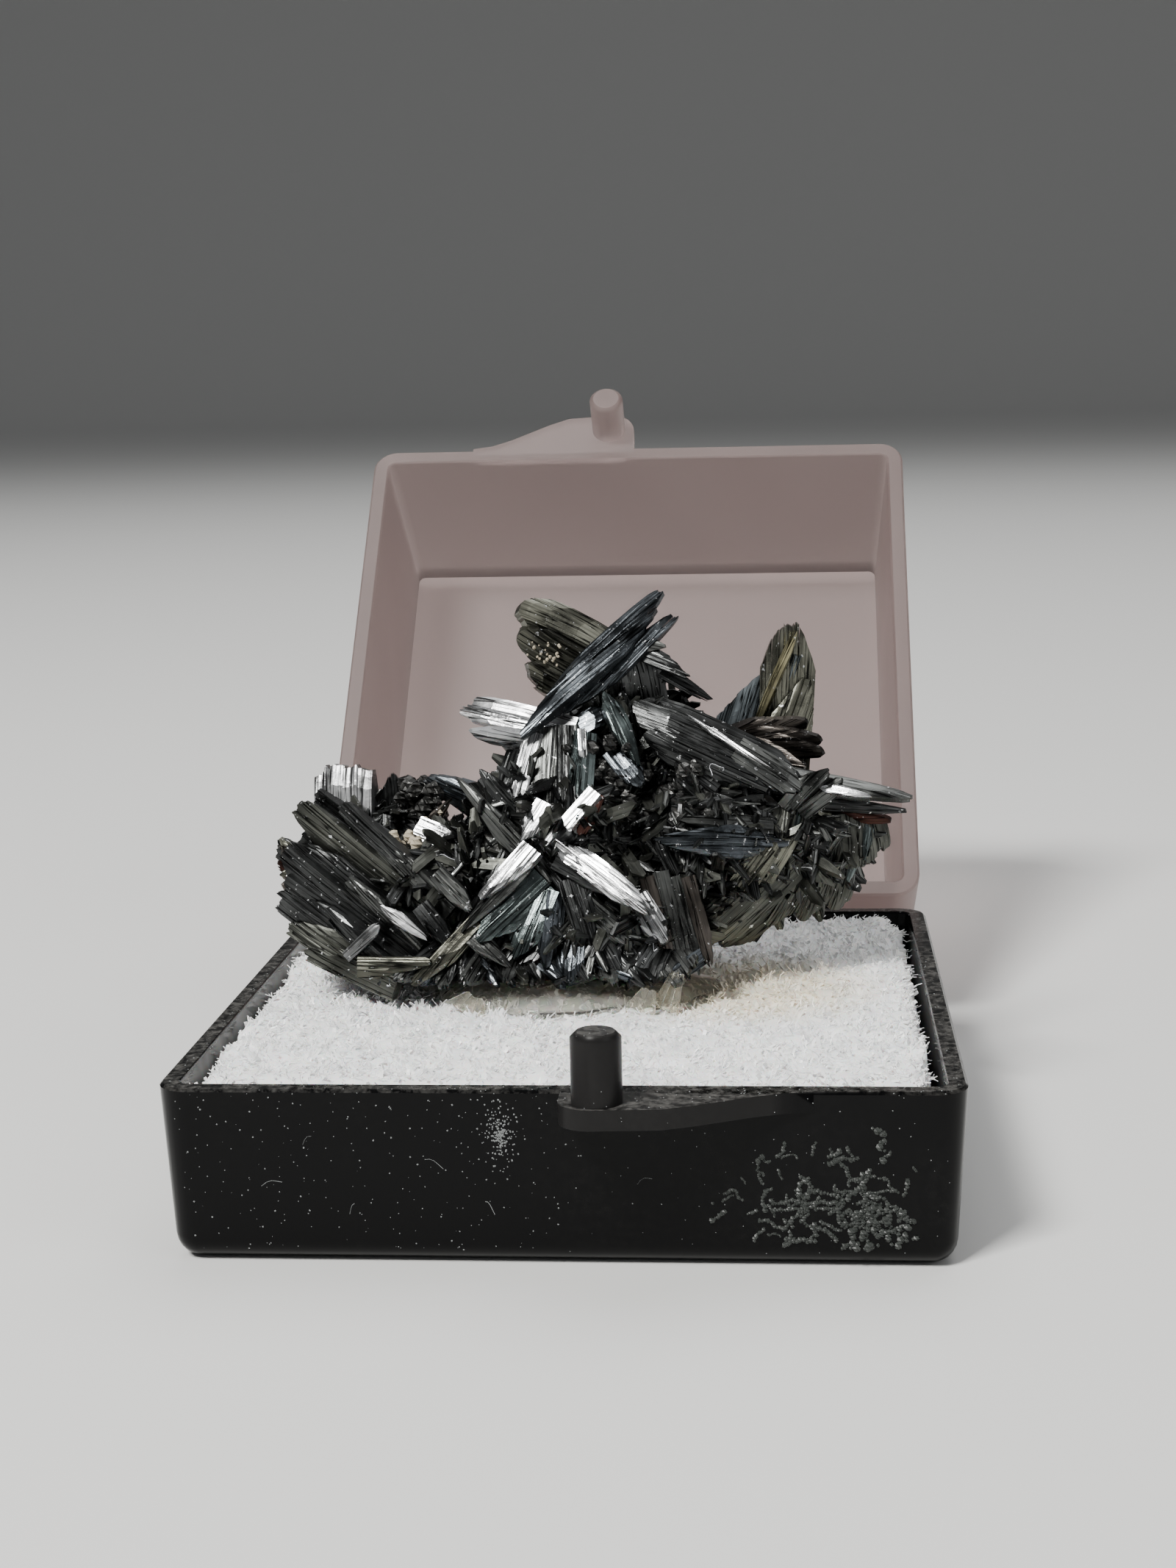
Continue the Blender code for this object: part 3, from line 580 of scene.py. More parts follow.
def blade(form, root, tip, width, thick, face, tint, point=0.3, skew=0.0, heel=0.0, blunt=0.12, ragged=0.12,
          splinters=1.0):
    """Add one bladed crystal, in millimetres.

    face is the way its broad side looks, point and heel the shares of its length over which the tip
    and the root narrow, skew where the tip's apex sits across it, blunt how much of the tip is flat.
    """
    if face is BRIGHT:
        tip = square_to_light(root, tip)
    root, tip, face = Vector(root), Vector(tip), Vector(face)
    length = (tip - root).length
    along = (tip - root) / length
    flat = (face - face.dot(along) * along).normalized()
    side = along.cross(flat)

    def bounds_at(across, share=1.0):
        begin = length * heel * fall_off(across, -skew, 0.1) + length * (1 - share) * 0.5
        stop = length * share * (1 - point * fall_off(across, skew, blunt))
        return begin if heel else 0.0, stop

    lines = [i / RIDGES - 0.5 for i in range(RIDGES + 1)]
    inner = [bounds_at(line, CORE_REACH) for line in lines]
    # The core gets the darker tint: painted shade for the gaps between laths.
    lath(form, root, along, side, flat, [begin for begin, _ in inner], [stop for _, stop in inner],
         width * CORE_WIDTH, thick * CORE_THICKNESS, darker(tint, CORE_PAINTED_SHADE))
    count = max(2, round(width / LATH_WIDTH))
    shares = [dice.choice(LATH_SHARES) for _ in range(count)]
    passed = 0.0
    for share in shares:
        low = passed / sum(shares) - 0.5
        passed += share
        high = passed / sum(shares) - 0.5
        jitter = dice.uniform(-ragged, ragged) * 0.8
        reaches = [bounds_at(low + (high - low) * (line + 0.5)) for line in lines]
        ends = [stop + jitter + dice.uniform(-ragged, ragged) * 0.5 for _, stop in reaches]
        starts = [begin + (dice.uniform(0, ragged) if heel else 0.0) for begin, _ in reaches]
        across = (low + high) / 2
        lean = side * (across * 0.05) + flat * dice.uniform(-0.012, 0.012)
        start = root + side * (across * width * 0.96) + flat * dice.uniform(-LATH_STEP, LATH_STEP)
        lath(form, start, (along + lean).normalized(), side, flat, starts, ends,
             width * (high - low) * OVERLAP, thick * (1.0 - EDGE_THINNING * abs(across)), varied(tint))
    for _ in range(round(splinters * count)):
        across = dice.uniform(-0.5, 0.5)
        begin, stop = bounds_at(across)
        size = dice.uniform(0.15, 0.5) * (stop - begin)
        first = begin + dice.uniform(0.0, 1.0) * (stop - begin - size)
        lift = 0.5 * thick * (1.0 - 0.5 * abs(across)) * dice.choice((1.0, 1.0, -1.0))
        lean = Vector([dice.uniform(-0.04, 0.04) for _ in range(3)])
        start = root + along * first + side * (across * width) + flat * lift
        splinter(form, start, (along + lean).normalized(), side, flat, size, dice.uniform(0.05, 0.13),
                 varied(tint, 0.5))


print("a blade has a lath for every", LATH_WIDTH, "mm of its width")


# %% [markdown]
# Blades often stand side by side like the sticks of a fan. Placing each by hand would take long and
# look too even, so a fan is given as two lines, one of roots and one of tips, and its blades are set
# between them with a little scatter.

# %% Fans of blades
def fan(form, count, roots, tips, width, thick, face, tint, spread_by=0.25, **shape):
    """Blades side by side, from one line of roots to one line of tips."""
    root_a, root_b = (Vector(point) for point in roots)
    tip_a, tip_b = (Vector(point) for point in tips)
    for i in range(count):
        t = i / max(count - 1, 1)
        shift = Vector([dice.uniform(-spread_by, spread_by) for _ in range(3)])
        tilt = Vector([dice.uniform(-0.2, 0.2) for _ in range(3)])
        root, tip = root_a.lerp(root_b, t) + shift * 0.5, tip_a.lerp(tip_b, t) + shift
        blade(form, root, tip, width * dice.uniform(0.85, 1.2), thick, Vector(face) + tilt, tint,
              skew=dice.uniform(-0.4, 0.4), **shape)


print("fans ready")


# %% [markdown]
# Now the crystals themselves, region by region as they stand in the photo. Scattering them at random
# would lose what makes this specimen itself, so each named blade has a line of its own: its root,
# its tip, its width and thickness in millimetres, and the way its broad face looks. The crown comes
# first: a blunt olive lozenge, a long dark spindle across it and splinters beside it.

# %% The crown
FRONT = (0.0, -1.0, 0.25)
LEFT_FRONT = (-0.55, -1.0, 0.2)
RIGHT_FRONT = (0.5, -1.0, 0.2)

crown = Form()
blade(crown, (1.8, 9.0, 21.3), (-3.7, 7.5, 24.7), 2.1, 1.8, (0.2, -1.0, 0.7), OLIVE, point=0.2, blunt=0.3)
blade(crown, (1.4, 8.0, 20.5), (-3.7, 6.8, 23.5), 1.7, 1.6, (-0.2, -1.0, -0.1), darker(OLIVE, 0.6),
      point=0.2, blunt=0.3)
blade(crown, (-0.4, 7.6, 20.1), (-3.1, 6.6, 22.0), 1.8, 1.6, (0.0, -1.0, 0.4), OLIVE, point=0.25,
      ragged=0.25)
blade(crown, (-3.4, 1.5, 19.4), (3.7, 5.0, 25.3), 1.35, 0.8, (-0.5, -1.0, 0.5), SLATE, point=0.35, heel=0.4,
      skew=-0.3, ragged=0.2, splinters=4.0)
blade(crown, (-1.2, 2.4, 19.8), (3.6, 5.0, 24.6), 1.15, 0.7, (-0.2, -1.0, 0.3), SLATE, point=0.5, heel=0.4,
      skew=0.3, ragged=0.25, splinters=3.0)
print("lozenge and spindle:", len(crown.faces), "faces")


# %% [markdown]
# Thin, sharp blades slant off the spindle to the right, and the crown stands on a stem of upright,
# blunt ones. A bright, stubby blade sticks out to the left.

# %% Splinters and stem of the crown
blade(crown, (0.9, 4.8, 23.4), (3.6, 4.0, 23.1), 0.7, 0.4, FRONT, STEEL, point=0.3)
blade(crown, (1.0, 5.0, 23.3), (4.7, 3.4, 22.1), 0.9, 0.45, (0.1, -1.0, 0.5), DARK, point=0.5, skew=0.3,
      ragged=0.3)
blade(crown, (1.4, 5.2, 23.0), (5.8, 4.5, 20.7), 0.9, 0.45, (0.1, -1.0, 0.3), DARK, point=0.8, skew=0.2,
      ragged=0.25)
blade(crown, (2.7, 5.2, 20.3), (2.2, 4.6, 23.3), 1.6, 1.4, (0.4, -1.0, 0.1), DARK, point=0.1)
blade(crown, (1.6, 4.8, 20.1), (1.4, 4.2, 22.8), 1.4, 1.2, FRONT, DARK, point=0.15)
blade(crown, (0.6, 4.4, 19.6), (0.2, 3.6, 21.8), 1.5, 1.1, LEFT_FRONT, STEEL, point=0.2)
blade(crown, (-0.6, 2.6, 19.2), (-6.0, 2.0, 20.3), 1.25, 1.0, BRIGHT, PAINTED_FLASH, point=0.12, blunt=0.5,
      ragged=0.35)
blade(crown, (-1.1, 3.4, 18.5), (-5.4, 1.0, 19.5), 0.7, 1.0, (-0.2, -1.0, -0.1), darker(PAINTED_FLASH, 0.6),
      point=0.2)
blade(crown, (-0.4, 2.8, 19.4), (0.9, 2.4, 20.1), 1.1, 0.9, BRIGHT, SLATE, point=0.3)
crown_piece = crown.finish("crown_blades", MANGANITE, slot="manganite")
print("crown triangles:", triangles(crown_piece))


# %% [markdown]
# On the right a golden, upright blade stands behind a fan of brown ones. The fan's blades share one
# root, so a loop over their tips makes them.

# %% The upright blade and the brown fan
GOLD = (0.36, 0.33, 0.20, 0.55)
PALE = (0.20, 0.23, 0.25, 0.55)
BROWN_TIPS = ((10.0, 5.2, 19.6), (10.8, 4.6, 18.9), (11.0, 4.4, 18.4), (10.2, 4.4, 17.6), (9.2, 4.4, 17.2))
right = Form()
blade(right, (6.3, 8.9, 14.6), (8.5, 8.2, 22.6), 3.2, 1.1, (-0.3, -1.0, 0.2), PALE, point=0.5, skew=0.45,
      splinters=0.4)
blade(right, (9.0, 8.2, 14.8), (9.5, 8.0, 23.6), 2.5, 1.4, (0.1, -1.0, 0.4), OLIVE, point=0.25, blunt=0.25,
      ragged=0.2, splinters=3.0)
blade(right, (7.6, 7.4, 18.2), (9.8, 7.3, 23.4), 0.35, 0.5, (-0.2, -1.0, 0.5), GOLD, point=0.2)
blade(right, (7.8, 7.0, 14.6), (10.3, 7.6, 21.0), 2.0, 1.2, (0.3, -1.0, 0.2), OLIVE, point=0.3)
for tip in BROWN_TIPS:
    blade(right, (6.3, 6.6, 18.0), tip, 1.4, 0.8, (0.5 + dice.uniform(-0.15, 0.15), -1.0, -0.1),
          darker(BROWN, 0.8), point=0.5, skew=0.3, ragged=0.1, splinters=0.5)
print("upright blade and brown fan:", len(right.faces), "faces")


# %% [markdown]
# A long dark blade runs down to the right from under the crown. It ends at a ledge of steel-grey
# blades with a sharp tip, which shows some rust on its underside.

# %% The long blade and the ledge
blade(right, (2.0, 3.4, 20.4), (9.8, 2.2, 16.8), 1.9, 1.3, (0.25, -1.0, 0.7), DARK, point=0.15, heel=0.1,
      splinters=4.0)
blade(right, (2.6, 2.6, 19.2), (8.4, 1.5, 16.6), 1.5, 1.1, (0.1, -1.0, 0.0), DARK, point=0.4, heel=0.15,
      splinters=4.0)
blade(right, (4.6, 2.9, 20.0), (8.6, 2.2, 17.7), 0.25, 0.4, BRIGHT, PAINTED_FLASH, point=0.8, heel=0.4)
blade(right, (6.9, 2.3, 18.3), (9.8, 1.9, 16.6), 1.4, 0.9, (0.2, -1.0, 0.5), STEEL, point=0.2, ragged=0.2,
      splinters=2.0)
fan(right, 4, ((9.2, 2.4, 15.7), (10.2, 2.6, 15.3)), ((10.6, 1.8, 17.5), (12.2, 2.0, 16.9)), 0.8, 0.7,
    (0.2, -1.0, 0.4), STEEL, 0.35)
blade(right, (9.0, 3.4, 16.8), (15.0, 2.0, 15.7), 1.5, 0.8, (0.2, -0.6, 1.0), STEEL, point=0.85, skew=-0.3)
blade(right, (10.8, 2.1, 16.6), (13.2, 1.8, 16.3), 0.5, 0.3, BRIGHT, PAINTED_FLASH, point=0.5, heel=0.2)
blade(right, (9.6, 3.0, 15.9), (14.9, 2.2, 15.6), 0.7, 0.6, (0.3, -1.0, -0.2), DARK, point=0.8, skew=0.2)
blade(right, (10.4, 3.4, 15.4), (14.2, 2.6, 15.2), 0.9, 0.8, (0.3, -1.0, -0.5), darker(RUST, 0.6), point=0.7,
      skew=0.3)
print("with the ledge:", len(right.faces), "faces")


# %% [markdown]
# Below the ledge, small upright blades crowd together like a palisade, in three rows, each a little
# lower and further in. Wide dull plates stand behind them and reach down to the foam.

# %% The palisade under the ledge
DULL = (0.090, 0.093, 0.082, 0.15)
PALISADE = ((0.0, 10), (0.7, 9), (1.5, 7))     # how much narrower each row is, and its blades
fan(right, 6, ((8.6, 2.8, 14.8), (12.8, 3.4, 15.1)), ((6.9, 1.7, 10.4), (13.3, 3.2, 12.9)), 2.0, 1.1,
    (0.3, -1.0, 0.0), DULL, 0.2, point=0.3)
fan(right, 5, ((8.2, 2.6, 13.4), (12.0, 3.8, 13.8)), ((5.3, 0.9, 9.3), (11.2, 3.8, 10.6)), 2.2, 1.1,
    (0.35, -1.0, -0.2), DULL, 0.2, point=0.35, splinters=0.5)
for row, (narrower, count) in enumerate(PALISADE):
    for i in range(count):
        x = 8.9 + (4.4 - narrower * 0.6) * i / (count - 1)
        high = 15.7 - 0.15 * (x - 9.0) - 0.8 * row
        length = dice.uniform(1.4, 2.8)
        y = 1.9 + 0.16 * (x - 9.0) + 0.25 * row
        root = (x + dice.uniform(-0.2, 0.2), y + 0.8, high)
        tip = (x - 0.2 * length + dice.uniform(-0.4, 0.3), y + dice.uniform(-0.2, 0.2), high - length)
        blade(right, root, tip, dice.uniform(0.5, 0.9), 0.6,
              (0.3 + dice.uniform(-0.5, 0.5), -1.0, dice.uniform(-0.2, 0.5)),
              dice.choice((DULL, STEEL, OLIVE, TEAL)), point=0.5, ragged=0.2)
blade(right, (10.2, 4.0, 12.4), (10.9, 4.3, 9.6), 1.6, 1.0, FRONT, DULL, point=0.8)
blade(right, (8.2, 3.2, 12.2), (9.0, 3.2, 9.5), 1.6, 1.0, FRONT, DULL, point=0.7)
blade(right, (9.3, 2.3, 13.4), (5.0, 0.5, 9.6), 2.6, 1.2, (0.4, -1.0, 0.0), DULL, point=0.3, splinters=0.5)
blade(right, (9.2, 3.2, 11.9), (6.0, 1.6, 9.2), 2.0, 1.2, (0.3, -1.0, -0.2), darker(DULL, 0.8), point=0.3,
      splinters=0.5)
right_piece = right.finish("right_blades", MANGANITE, slot="manganite")
print("right-hand triangles:", triangles(right_piece))


# %% [markdown]
# In the middle, plates hang down side by side from under the crown, like shingles on a gable. Their
# lower ends are cut at different slants.

# %% The hanging plates
star = Form()
blade(star, (-2.5, 2.2, 19.2), (-3.4, 0.2, 16.1), 0.9, 0.7, BRIGHT, darker(PAINTED_FLASH, 0.7), point=0.3,
      skew=-0.3)
blade(star, (-3.4, 2.0, 18.4), (-4.0, 0.7, 16.6), 0.8, 0.7, LEFT_FRONT, DARK, point=0.3)
blade(star, (-1.9, 2.4, 19.4), (-2.1, 0.0, 15.4), 1.2, 0.8, (-0.2, -1.0, 0.1), STEEL, point=0.25, skew=0.2)
blade(star, (-1.1, 2.4, 19.5), (-0.9, 0.0, 15.5), 1.3, 0.8, (0.1, -1.0, 0.15), DARK, point=0.2)
blade(star, (-0.2, 2.2, 19.2), (-0.4, 0.2, 15.9), 1.1, 0.8, (0.3, -1.0, 0.2), TEAL, point=0.4, skew=-0.3,
      splinters=0.3)
blade(star, (-0.2, 1.5, 19.5), (-0.1, 0.9, 18.3), 0.35, 0.4, BRIGHT, PAINTED_FLASH, point=0.1)
blade(star, (0.7, 3.0, 21.1), (2.4, 1.0, 18.0), 0.9, 0.6, (0.35, -1.0, 0.4), TEAL, point=0.4, heel=0.2,
      splinters=0.0)
blade(star, (1.2, 2.0, 18.4), (2.6, 0.8, 16.9), 1.1, 0.8, BRIGHT, SLATE, point=0.3)
print("hanging plates:", len(star.faces), "faces")


# %% [markdown]
# Below the plates, blades cross in a star. It is what the eye finds first, because several of its arms
# flash white, so those are laid to look the bright way worked out from the lights, and their colour
# is a painted highlight, far lighter than the dark metal.

# %% The star
blade(star, (-6.2, 1.2, 17.4), (-1.5, -1.8, 12.9), 0.95, 0.5, (-0.45, -1.0, 0.0), STEEL, point=0.4,
      heel=0.45, ragged=0.15)
blade(star, (-5.1, 1.2, 17.8), (-3.3, 0.2, 15.9), 0.8, 0.5, LEFT_FRONT, DARK, point=0.3, heel=0.4)
blade(star, (0.5, 0.0, 16.8), (-1.8, -1.6, 14.3), 0.7, 0.5, BRIGHT, PAINTED_FLASH, point=0.4, skew=0.2)
blade(star, (0.1, 0.2, 16.2), (-1.5, -1.4, 14.0), 0.6, 0.5, (0.4, -1.0, 0.1), STEEL, point=0.3)
blade(star, (0.4, 0.3, 16.7), (-0.3, -0.6, 14.9), 0.9, 0.6, RIGHT_FRONT, RUST, point=0.3)
blade(star, (-1.8, -0.5, 16.4), (-2.8, -1.4, 14.9), 0.9, 0.5, BRIGHT, PAINTED_FLASH, point=0.3, ragged=0.2)
blade(star, (-2.3, -1.7, 14.5), (-4.4, -2.3, 12.2), 1.1, 0.5, BRIGHT, PAINTED_FLASH, point=0.8, skew=0.3,
      ragged=0.08, splinters=0.2)
blade(star, (-2.7, -1.9, 13.8), (-5.5, -2.7, 10.9), 0.9, 0.5, (0.1, -1.0, 0.3), STEEL, point=0.6)
blade(star, (-1.3, -1.0, 14.7), (3.0, -2.2, 12.0), 1.1, 0.7, BRIGHT, PAINTED_FLASH, point=0.35, heel=0.2,
      ragged=0.4, splinters=5.0)
blade(star, (-1.2, -1.5, 14.3), (0.5, -2.2, 13.4), 0.5, 0.4, BRIGHT, PAINTED_FLASH, point=0.4, heel=0.2)
blade(star, (-1.3, -1.4, 13.9), (1.8, -2.2, 12.3), 0.8, 0.6, (0.1, -1.0, 0.1), DARK, point=0.4,
      splinters=2.0)
blade(star, (2.4, -1.4, 12.1), (3.7, -2.5, 10.3), 1.1, 0.7, (0.1, -1.0, 0.5), darker(PAINTED_FLASH, 0.6), point=0.3,
      blunt=0.3, ragged=0.2)
print("with the star:", len(star.faces), "faces")


# %% [markdown]
# Under the star hang wide, bluish plates, and on the right a row of thin upright blades closes the
# middle off. A grey spindle lies across the hollow between the middle and the right-hand side.

# %% Under the star
blade(star, (-1.9, -1.4, 13.0), (-4.8, -2.8, 10.5), 1.7, 0.7, (-0.1, -1.0, 0.25), TEAL, point=0.35,
      splinters=0.5)
blade(star, (-1.8, -1.5, 12.6), (-3.1, -2.9, 9.7), 1.5, 0.7, (-0.25, -1.0, 0.15), TEAL, point=0.3,
      splinters=0.5)
blade(star, (-1.4, -1.5, 12.4), (-1.7, -3.0, 9.2), 1.1, 0.7, (0.35, -1.0, 0.1), SLATE, point=0.3)
blade(star, (-0.6, -1.5, 13.0), (0.4, -2.7, 10.2), 1.3, 0.7, (0.1, -1.0, 0.35), DARK, point=0.4)
blade(star, (-0.2, -1.6, 12.0), (2.0, -2.7, 10.3), 1.2, 0.7, (-0.2, -1.0, 0.1), STEEL, point=0.4)
blade(star, (0.2, -1.6, 11.0), (1.6, -3.0, 9.0), 1.4, 0.8, (0.3, -1.0, 0.3), DARK, point=0.4)
blade(star, (-0.4, -1.9, 10.6), (-0.6, -3.3, 8.6), 1.3, 0.8, (-0.2, -1.0, 0.2), SLATE, point=0.3)
blade(star, (-4.9, -2.2, 11.2), (-7.6, -3.2, 8.3), 0.9, 0.6, (-0.1, -1.0, 0.4), OLIVE, point=0.5, skew=0.3,
      splinters=0.3)
blade(star, (-5.5, -2.2, 10.9), (-3.4, -3.0, 9.3), 1.0, 0.6, (0.25, -1.0, 0.3), STEEL, point=0.6,
      splinters=0.3)
for x in (2.9, 3.5, 4.1, 4.7):
    root = (x, -1.0, 13.2 + dice.uniform(-0.4, 0.3))
    tip = (x + 1.1, -2.0, 8.6 + dice.uniform(-0.2, 0.4))
    blade(star, root, tip, 0.75, 0.7, (dice.uniform(-0.3, 0.5), -1.0, 0.1), dice.choice((BROWN, STEEL)),
          point=0.3, ragged=0.25, splinters=1.5)
blade(star, (9.4, 0.6, 14.2), (3.4, -1.0, 14.7), 1.5, 0.9, (-0.1, -1.0, 0.3), SLATE, point=0.5, heel=0.35,
      ragged=0.2, splinters=4.0)
blade(star, (8.6, 1.1, 14.9), (4.3, 0.0, 15.5), 0.8, 0.7, (0.0, -1.0, 0.6), STEEL, point=0.5, splinters=2.0)
fan(star, 3, ((7.0, 0.2, 12.4), (8.2, 0.5, 12.5)), ((8.4, 0.2, 14.3), (9.4, 0.6, 14.4)), 0.8, 0.6,
    (0.3, -1.0, 0.35), OLIVE, 0.15, point=0.15)
fan(star, 4, ((-2.0, 0.2, 13.8), (0.6, 0.4, 12.8)), ((-4.6, -2.2, 10.0), (-2.4, -2.8, 9.0)), 1.2, 0.8,
    LEFT_FRONT, DARK)
print("with what hangs under it:", len(star.faces), "faces")


# %% [markdown]
# The foot of the cluster is a dark rim of short blades that point every way down to the tack. They
# are too many and too small to place one by one, so they follow the rim's curve in a loop. With the
# star they make one piece, which stands for the whole cluster of the solid model.

# %% The foot of the cluster
fan(star, 9, ((-6.6, -0.4, 10.2), (3.4, -0.2, 10.0)), ((-8.6, -3.3, 8.6), (5.0, -3.2, 8.7)), 1.5, 0.8,
    (-0.1, -1.0, 0.6), STEEL)
FOOT_BLADES = 22
for number in range(FOOT_BLADES):
    x = -9.4 + 14.2 * number / (FOOT_BLADES - 1)
    y = -2.2 - 0.9 * math.cos((x + 2.0) / 8.0)
    swing = dice.uniform(-1.6, 1.6)
    root = (x - swing * 0.5, y + 1.2, 9.5 + dice.uniform(-0.5, 0.4))
    tip = (x + swing, y - 0.3, 8.35 + dice.uniform(-0.15, 0.3))
    width = dice.uniform(0.5, 1.1)
    look = (dice.uniform(-0.4, 0.4), -1.0, dice.uniform(-0.4, 0.2))
    blade(star, root, tip, width, 0.7, look, dice.choice((DARK, DARK, DULL, SLATE)), point=0.5,
          skew=dice.uniform(-0.4, 0.4), ragged=0.15, splinters=1.5)
star_piece = star.finish("star_blades", MANGANITE, slot="manganite")
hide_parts("manganite_cluster")
print("star triangles:", triangles(star_piece))


# %% [markdown]
# At the lower left, wide plates lie on each other like shingles and point up to the left. A fan
# gives their body, and ten plates on top of it, each with its own ends, give the broken front.

# %% The left-hand plates
left = Form()
PLATE_WAY = (-0.5, -1.0, 0.1)
TOP_PLATES = (                 # root, tip, width and tint
    ((-7.0, -0.6, 10.6), (-13.9, 1.1, 15.6), 2.0, DULL), ((-7.6, -1.3, 9.8), (-14.4, 0.7, 14.7), 1.9, DARK),
    ((-8.0, -1.9, 9.1), (-14.6, 0.3, 13.5), 1.8, DARK), ((-8.4, -2.4, 8.6), (-14.4, -0.1, 12.2), 1.7, DARK),
    ((-8.9, -2.7, 8.3), (-13.9, -0.6, 11.0), 1.4, DULL), ((-8.6, -2.9, 8.2), (-12.9, -1.3, 9.8), 1.2, DULL),
    ((-6.4, -0.6, 11.6), (-11.7, 0.8, 15.9), 1.2, DARK), ((-6.2, -0.9, 11.4), (-9.6, 0.1, 14.4), 1.0, STEEL),
    ((-7.6, -1.9, 9.8), (-11.2, -0.7, 13.0), 0.9, STEEL), ((-8.6, -2.7, 8.8), (-12.2, -1.3, 11.6), 0.8, DARK))
fan(left, 8, ((-6.4, 0.6, 11.6), (-8.6, -0.8, 8.8)), ((-13.2, 1.8, 15.7), (-14.3, 0.2, 12.0)), 1.8, 1.1,
    PLATE_WAY, DARK, 0.25, point=0.25, blunt=0.3, splinters=3.0)
for root, tip, width, tint in TOP_PLATES:
    blade(left, root, tip, width, 0.7, (PLATE_WAY[0] + dice.uniform(-0.2, 0.2), -1.0, PLATE_WAY[2]), tint,
          point=0.35, skew=dice.uniform(-0.4, 0.4), blunt=0.25, ragged=0.2, splinters=3.0)
print("left-hand plates:", len(left.faces), "faces")


# %% [markdown]
# The outer edge of the plates is rough and reddish, so short blades of rust, brown and olive line it.
# Behind the plates stands a bright, upright block with fine lines, and small blades fill the hollow.

# %% The rough edge and the block behind
EDGE_BLADES = 16
for number in range(EDGE_BLADES):
    t = number / (EDGE_BLADES - 1)
    spot = Vector((-14.3 + 1.7 * t * t, 0.7 - 1.2 * t, 14.2 - 4.6 * t))
    way = Vector((-0.6, dice.uniform(-0.6, 0.4), dice.uniform(-0.2, 0.7)))
    blade(left, spot - way * 0.9, spot + way * 0.5, 0.7, 0.5,
          (dice.uniform(-0.8, 0.0), -1.0, dice.uniform(-0.3, 0.6)), dice.choice((RUST, BROWN, OLIVE)),
          point=0.3, ragged=0.2)
blade(left, (-9.4, -2.3, 12.0), (-7.2, -2.8, 10.5), 0.6, 0.4, (0.1, -1.0, 0.5), darker(PAINTED_FLASH, 0.5),
      point=0.5, heel=0.3)
blade(left, (-11.0, -2.5, 9.6), (-9.3, -2.7, 11.2), 0.55, 0.4, (0.1, -1.0, 0.4), darker(PAINTED_FLASH, 0.4),
      point=0.2)
blade(left, (-10.4, -2.7, 9.2), (-7.0, -3.2, 9.2), 1.0, 0.6, (0.1, -1.0, 0.2), darker(OLIVE, 0.6), point=0.7,
      skew=-0.3)
blade(left, (-7.6, -1.6, 11.8), (-6.0, -2.4, 9.9), 0.9, 0.6, (0.3, -1.0, 0.1), DARK, point=0.4)
blade(left, (-6.9, -1.0, 13.2), (-5.2, -1.8, 11.6), 0.9, 0.6, (-0.2, -1.0, 0.1), STEEL, point=0.4)
blade(left, (-12.0, 4.4, 12.6), (-12.2, 5.0, 17.2), 2.9, 1.8, (-0.15, -1.0, 0.3), darker(PAINTED_FLASH, 0.62),
      point=0.06, blunt=0.5, ragged=0.2)
fan(left, 4, ((-10.0, 5.6, 13.0), (-8.2, 5.4, 13.0)), ((-10.2, 5.6, 16.7), (-8.4, 5.2, 15.4)), 1.2, 1.2,
    FRONT, DARK, 0.25, ragged=0.25)
blade(left, (-8.3, 2.2, 14.5), (-6.2, 1.5, 13.8), 1.6, 1.0, BRIGHT, PAINTED_FLASH, point=0.15, blunt=0.5)
blade(left, (-8.7, 1.6, 12.4), (-8.8, 1.8, 14.3), 1.3, 1.0, (0.1, -1.0, 0.3), TEAL, point=0.3, blunt=0.3,
      ragged=0.2)
blade(left, (-7.9, 3.5, 14.6), (-6.8, 3.5, 15.9), 0.6, 0.4, FRONT, BROWN, point=0.6)
fan(left, 4, ((-5.8, -1.0, 9.6), (-6.6, -1.0, 9.2)), ((-9.4, -2.8, 8.6), (-11.4, -2.2, 8.6)), 1.0, 0.8,
    LEFT_FRONT, STEEL, 0.15)
left_piece = left.finish("left_blades", MANGANITE, slot="manganite")
print("left-hand triangles:", triangles(left_piece))


# %% [markdown]
# The photo doesn't show the back. Leaving it bare would show as soon as the box is turned, so it
# gets blades of the same habit, leaning out all round and shorter towards the top.

# %% The hidden side
behind = Form()
BACK_BLADES = 30
for number in range(BACK_BLADES):
    angle = math.radians(14 + 152 * number / (BACK_BLADES - 1))
    height = dice.uniform(9.8, 18.0)
    narrowing = 1.25 - 0.05 * height
    right_way, back_way = math.cos(angle), math.sin(angle)
    root = Vector((0.4 + 4.6 * narrowing * right_way, 3.8 + 2.0 * narrowing * back_way, height))
    reach = dice.uniform(1.1, 1.5) * narrowing
    tip = (10.6 * reach * right_way, 3.4 + 6.0 * reach * back_way, height + dice.uniform(-1.2, 2.4))
    look = (dice.uniform(-0.5, 0.5), 1.0, dice.uniform(0.2, 0.9))
    blade(behind, root, tip, dice.uniform(1.4, 2.6), dice.uniform(0.9, 1.4), look,
          dice.choice((STEEL, DARK, SLATE)), point=0.35, skew=dice.uniform(-0.4, 0.4), ragged=0.2)
back_piece = behind.finish("back_blades", MANGANITE, slot="manganite")
print("back triangles:", triangles(back_piece))


# %% [markdown]
# Behind the blades is massive ore: the same mineral without form, knobbly and full of small broken
# faces. Sculpting it would be the usual way. Here a few round lumps, pushed in and out by a noise,
# are enough, because it only shows in the gaps, where it keeps the light from shining through.

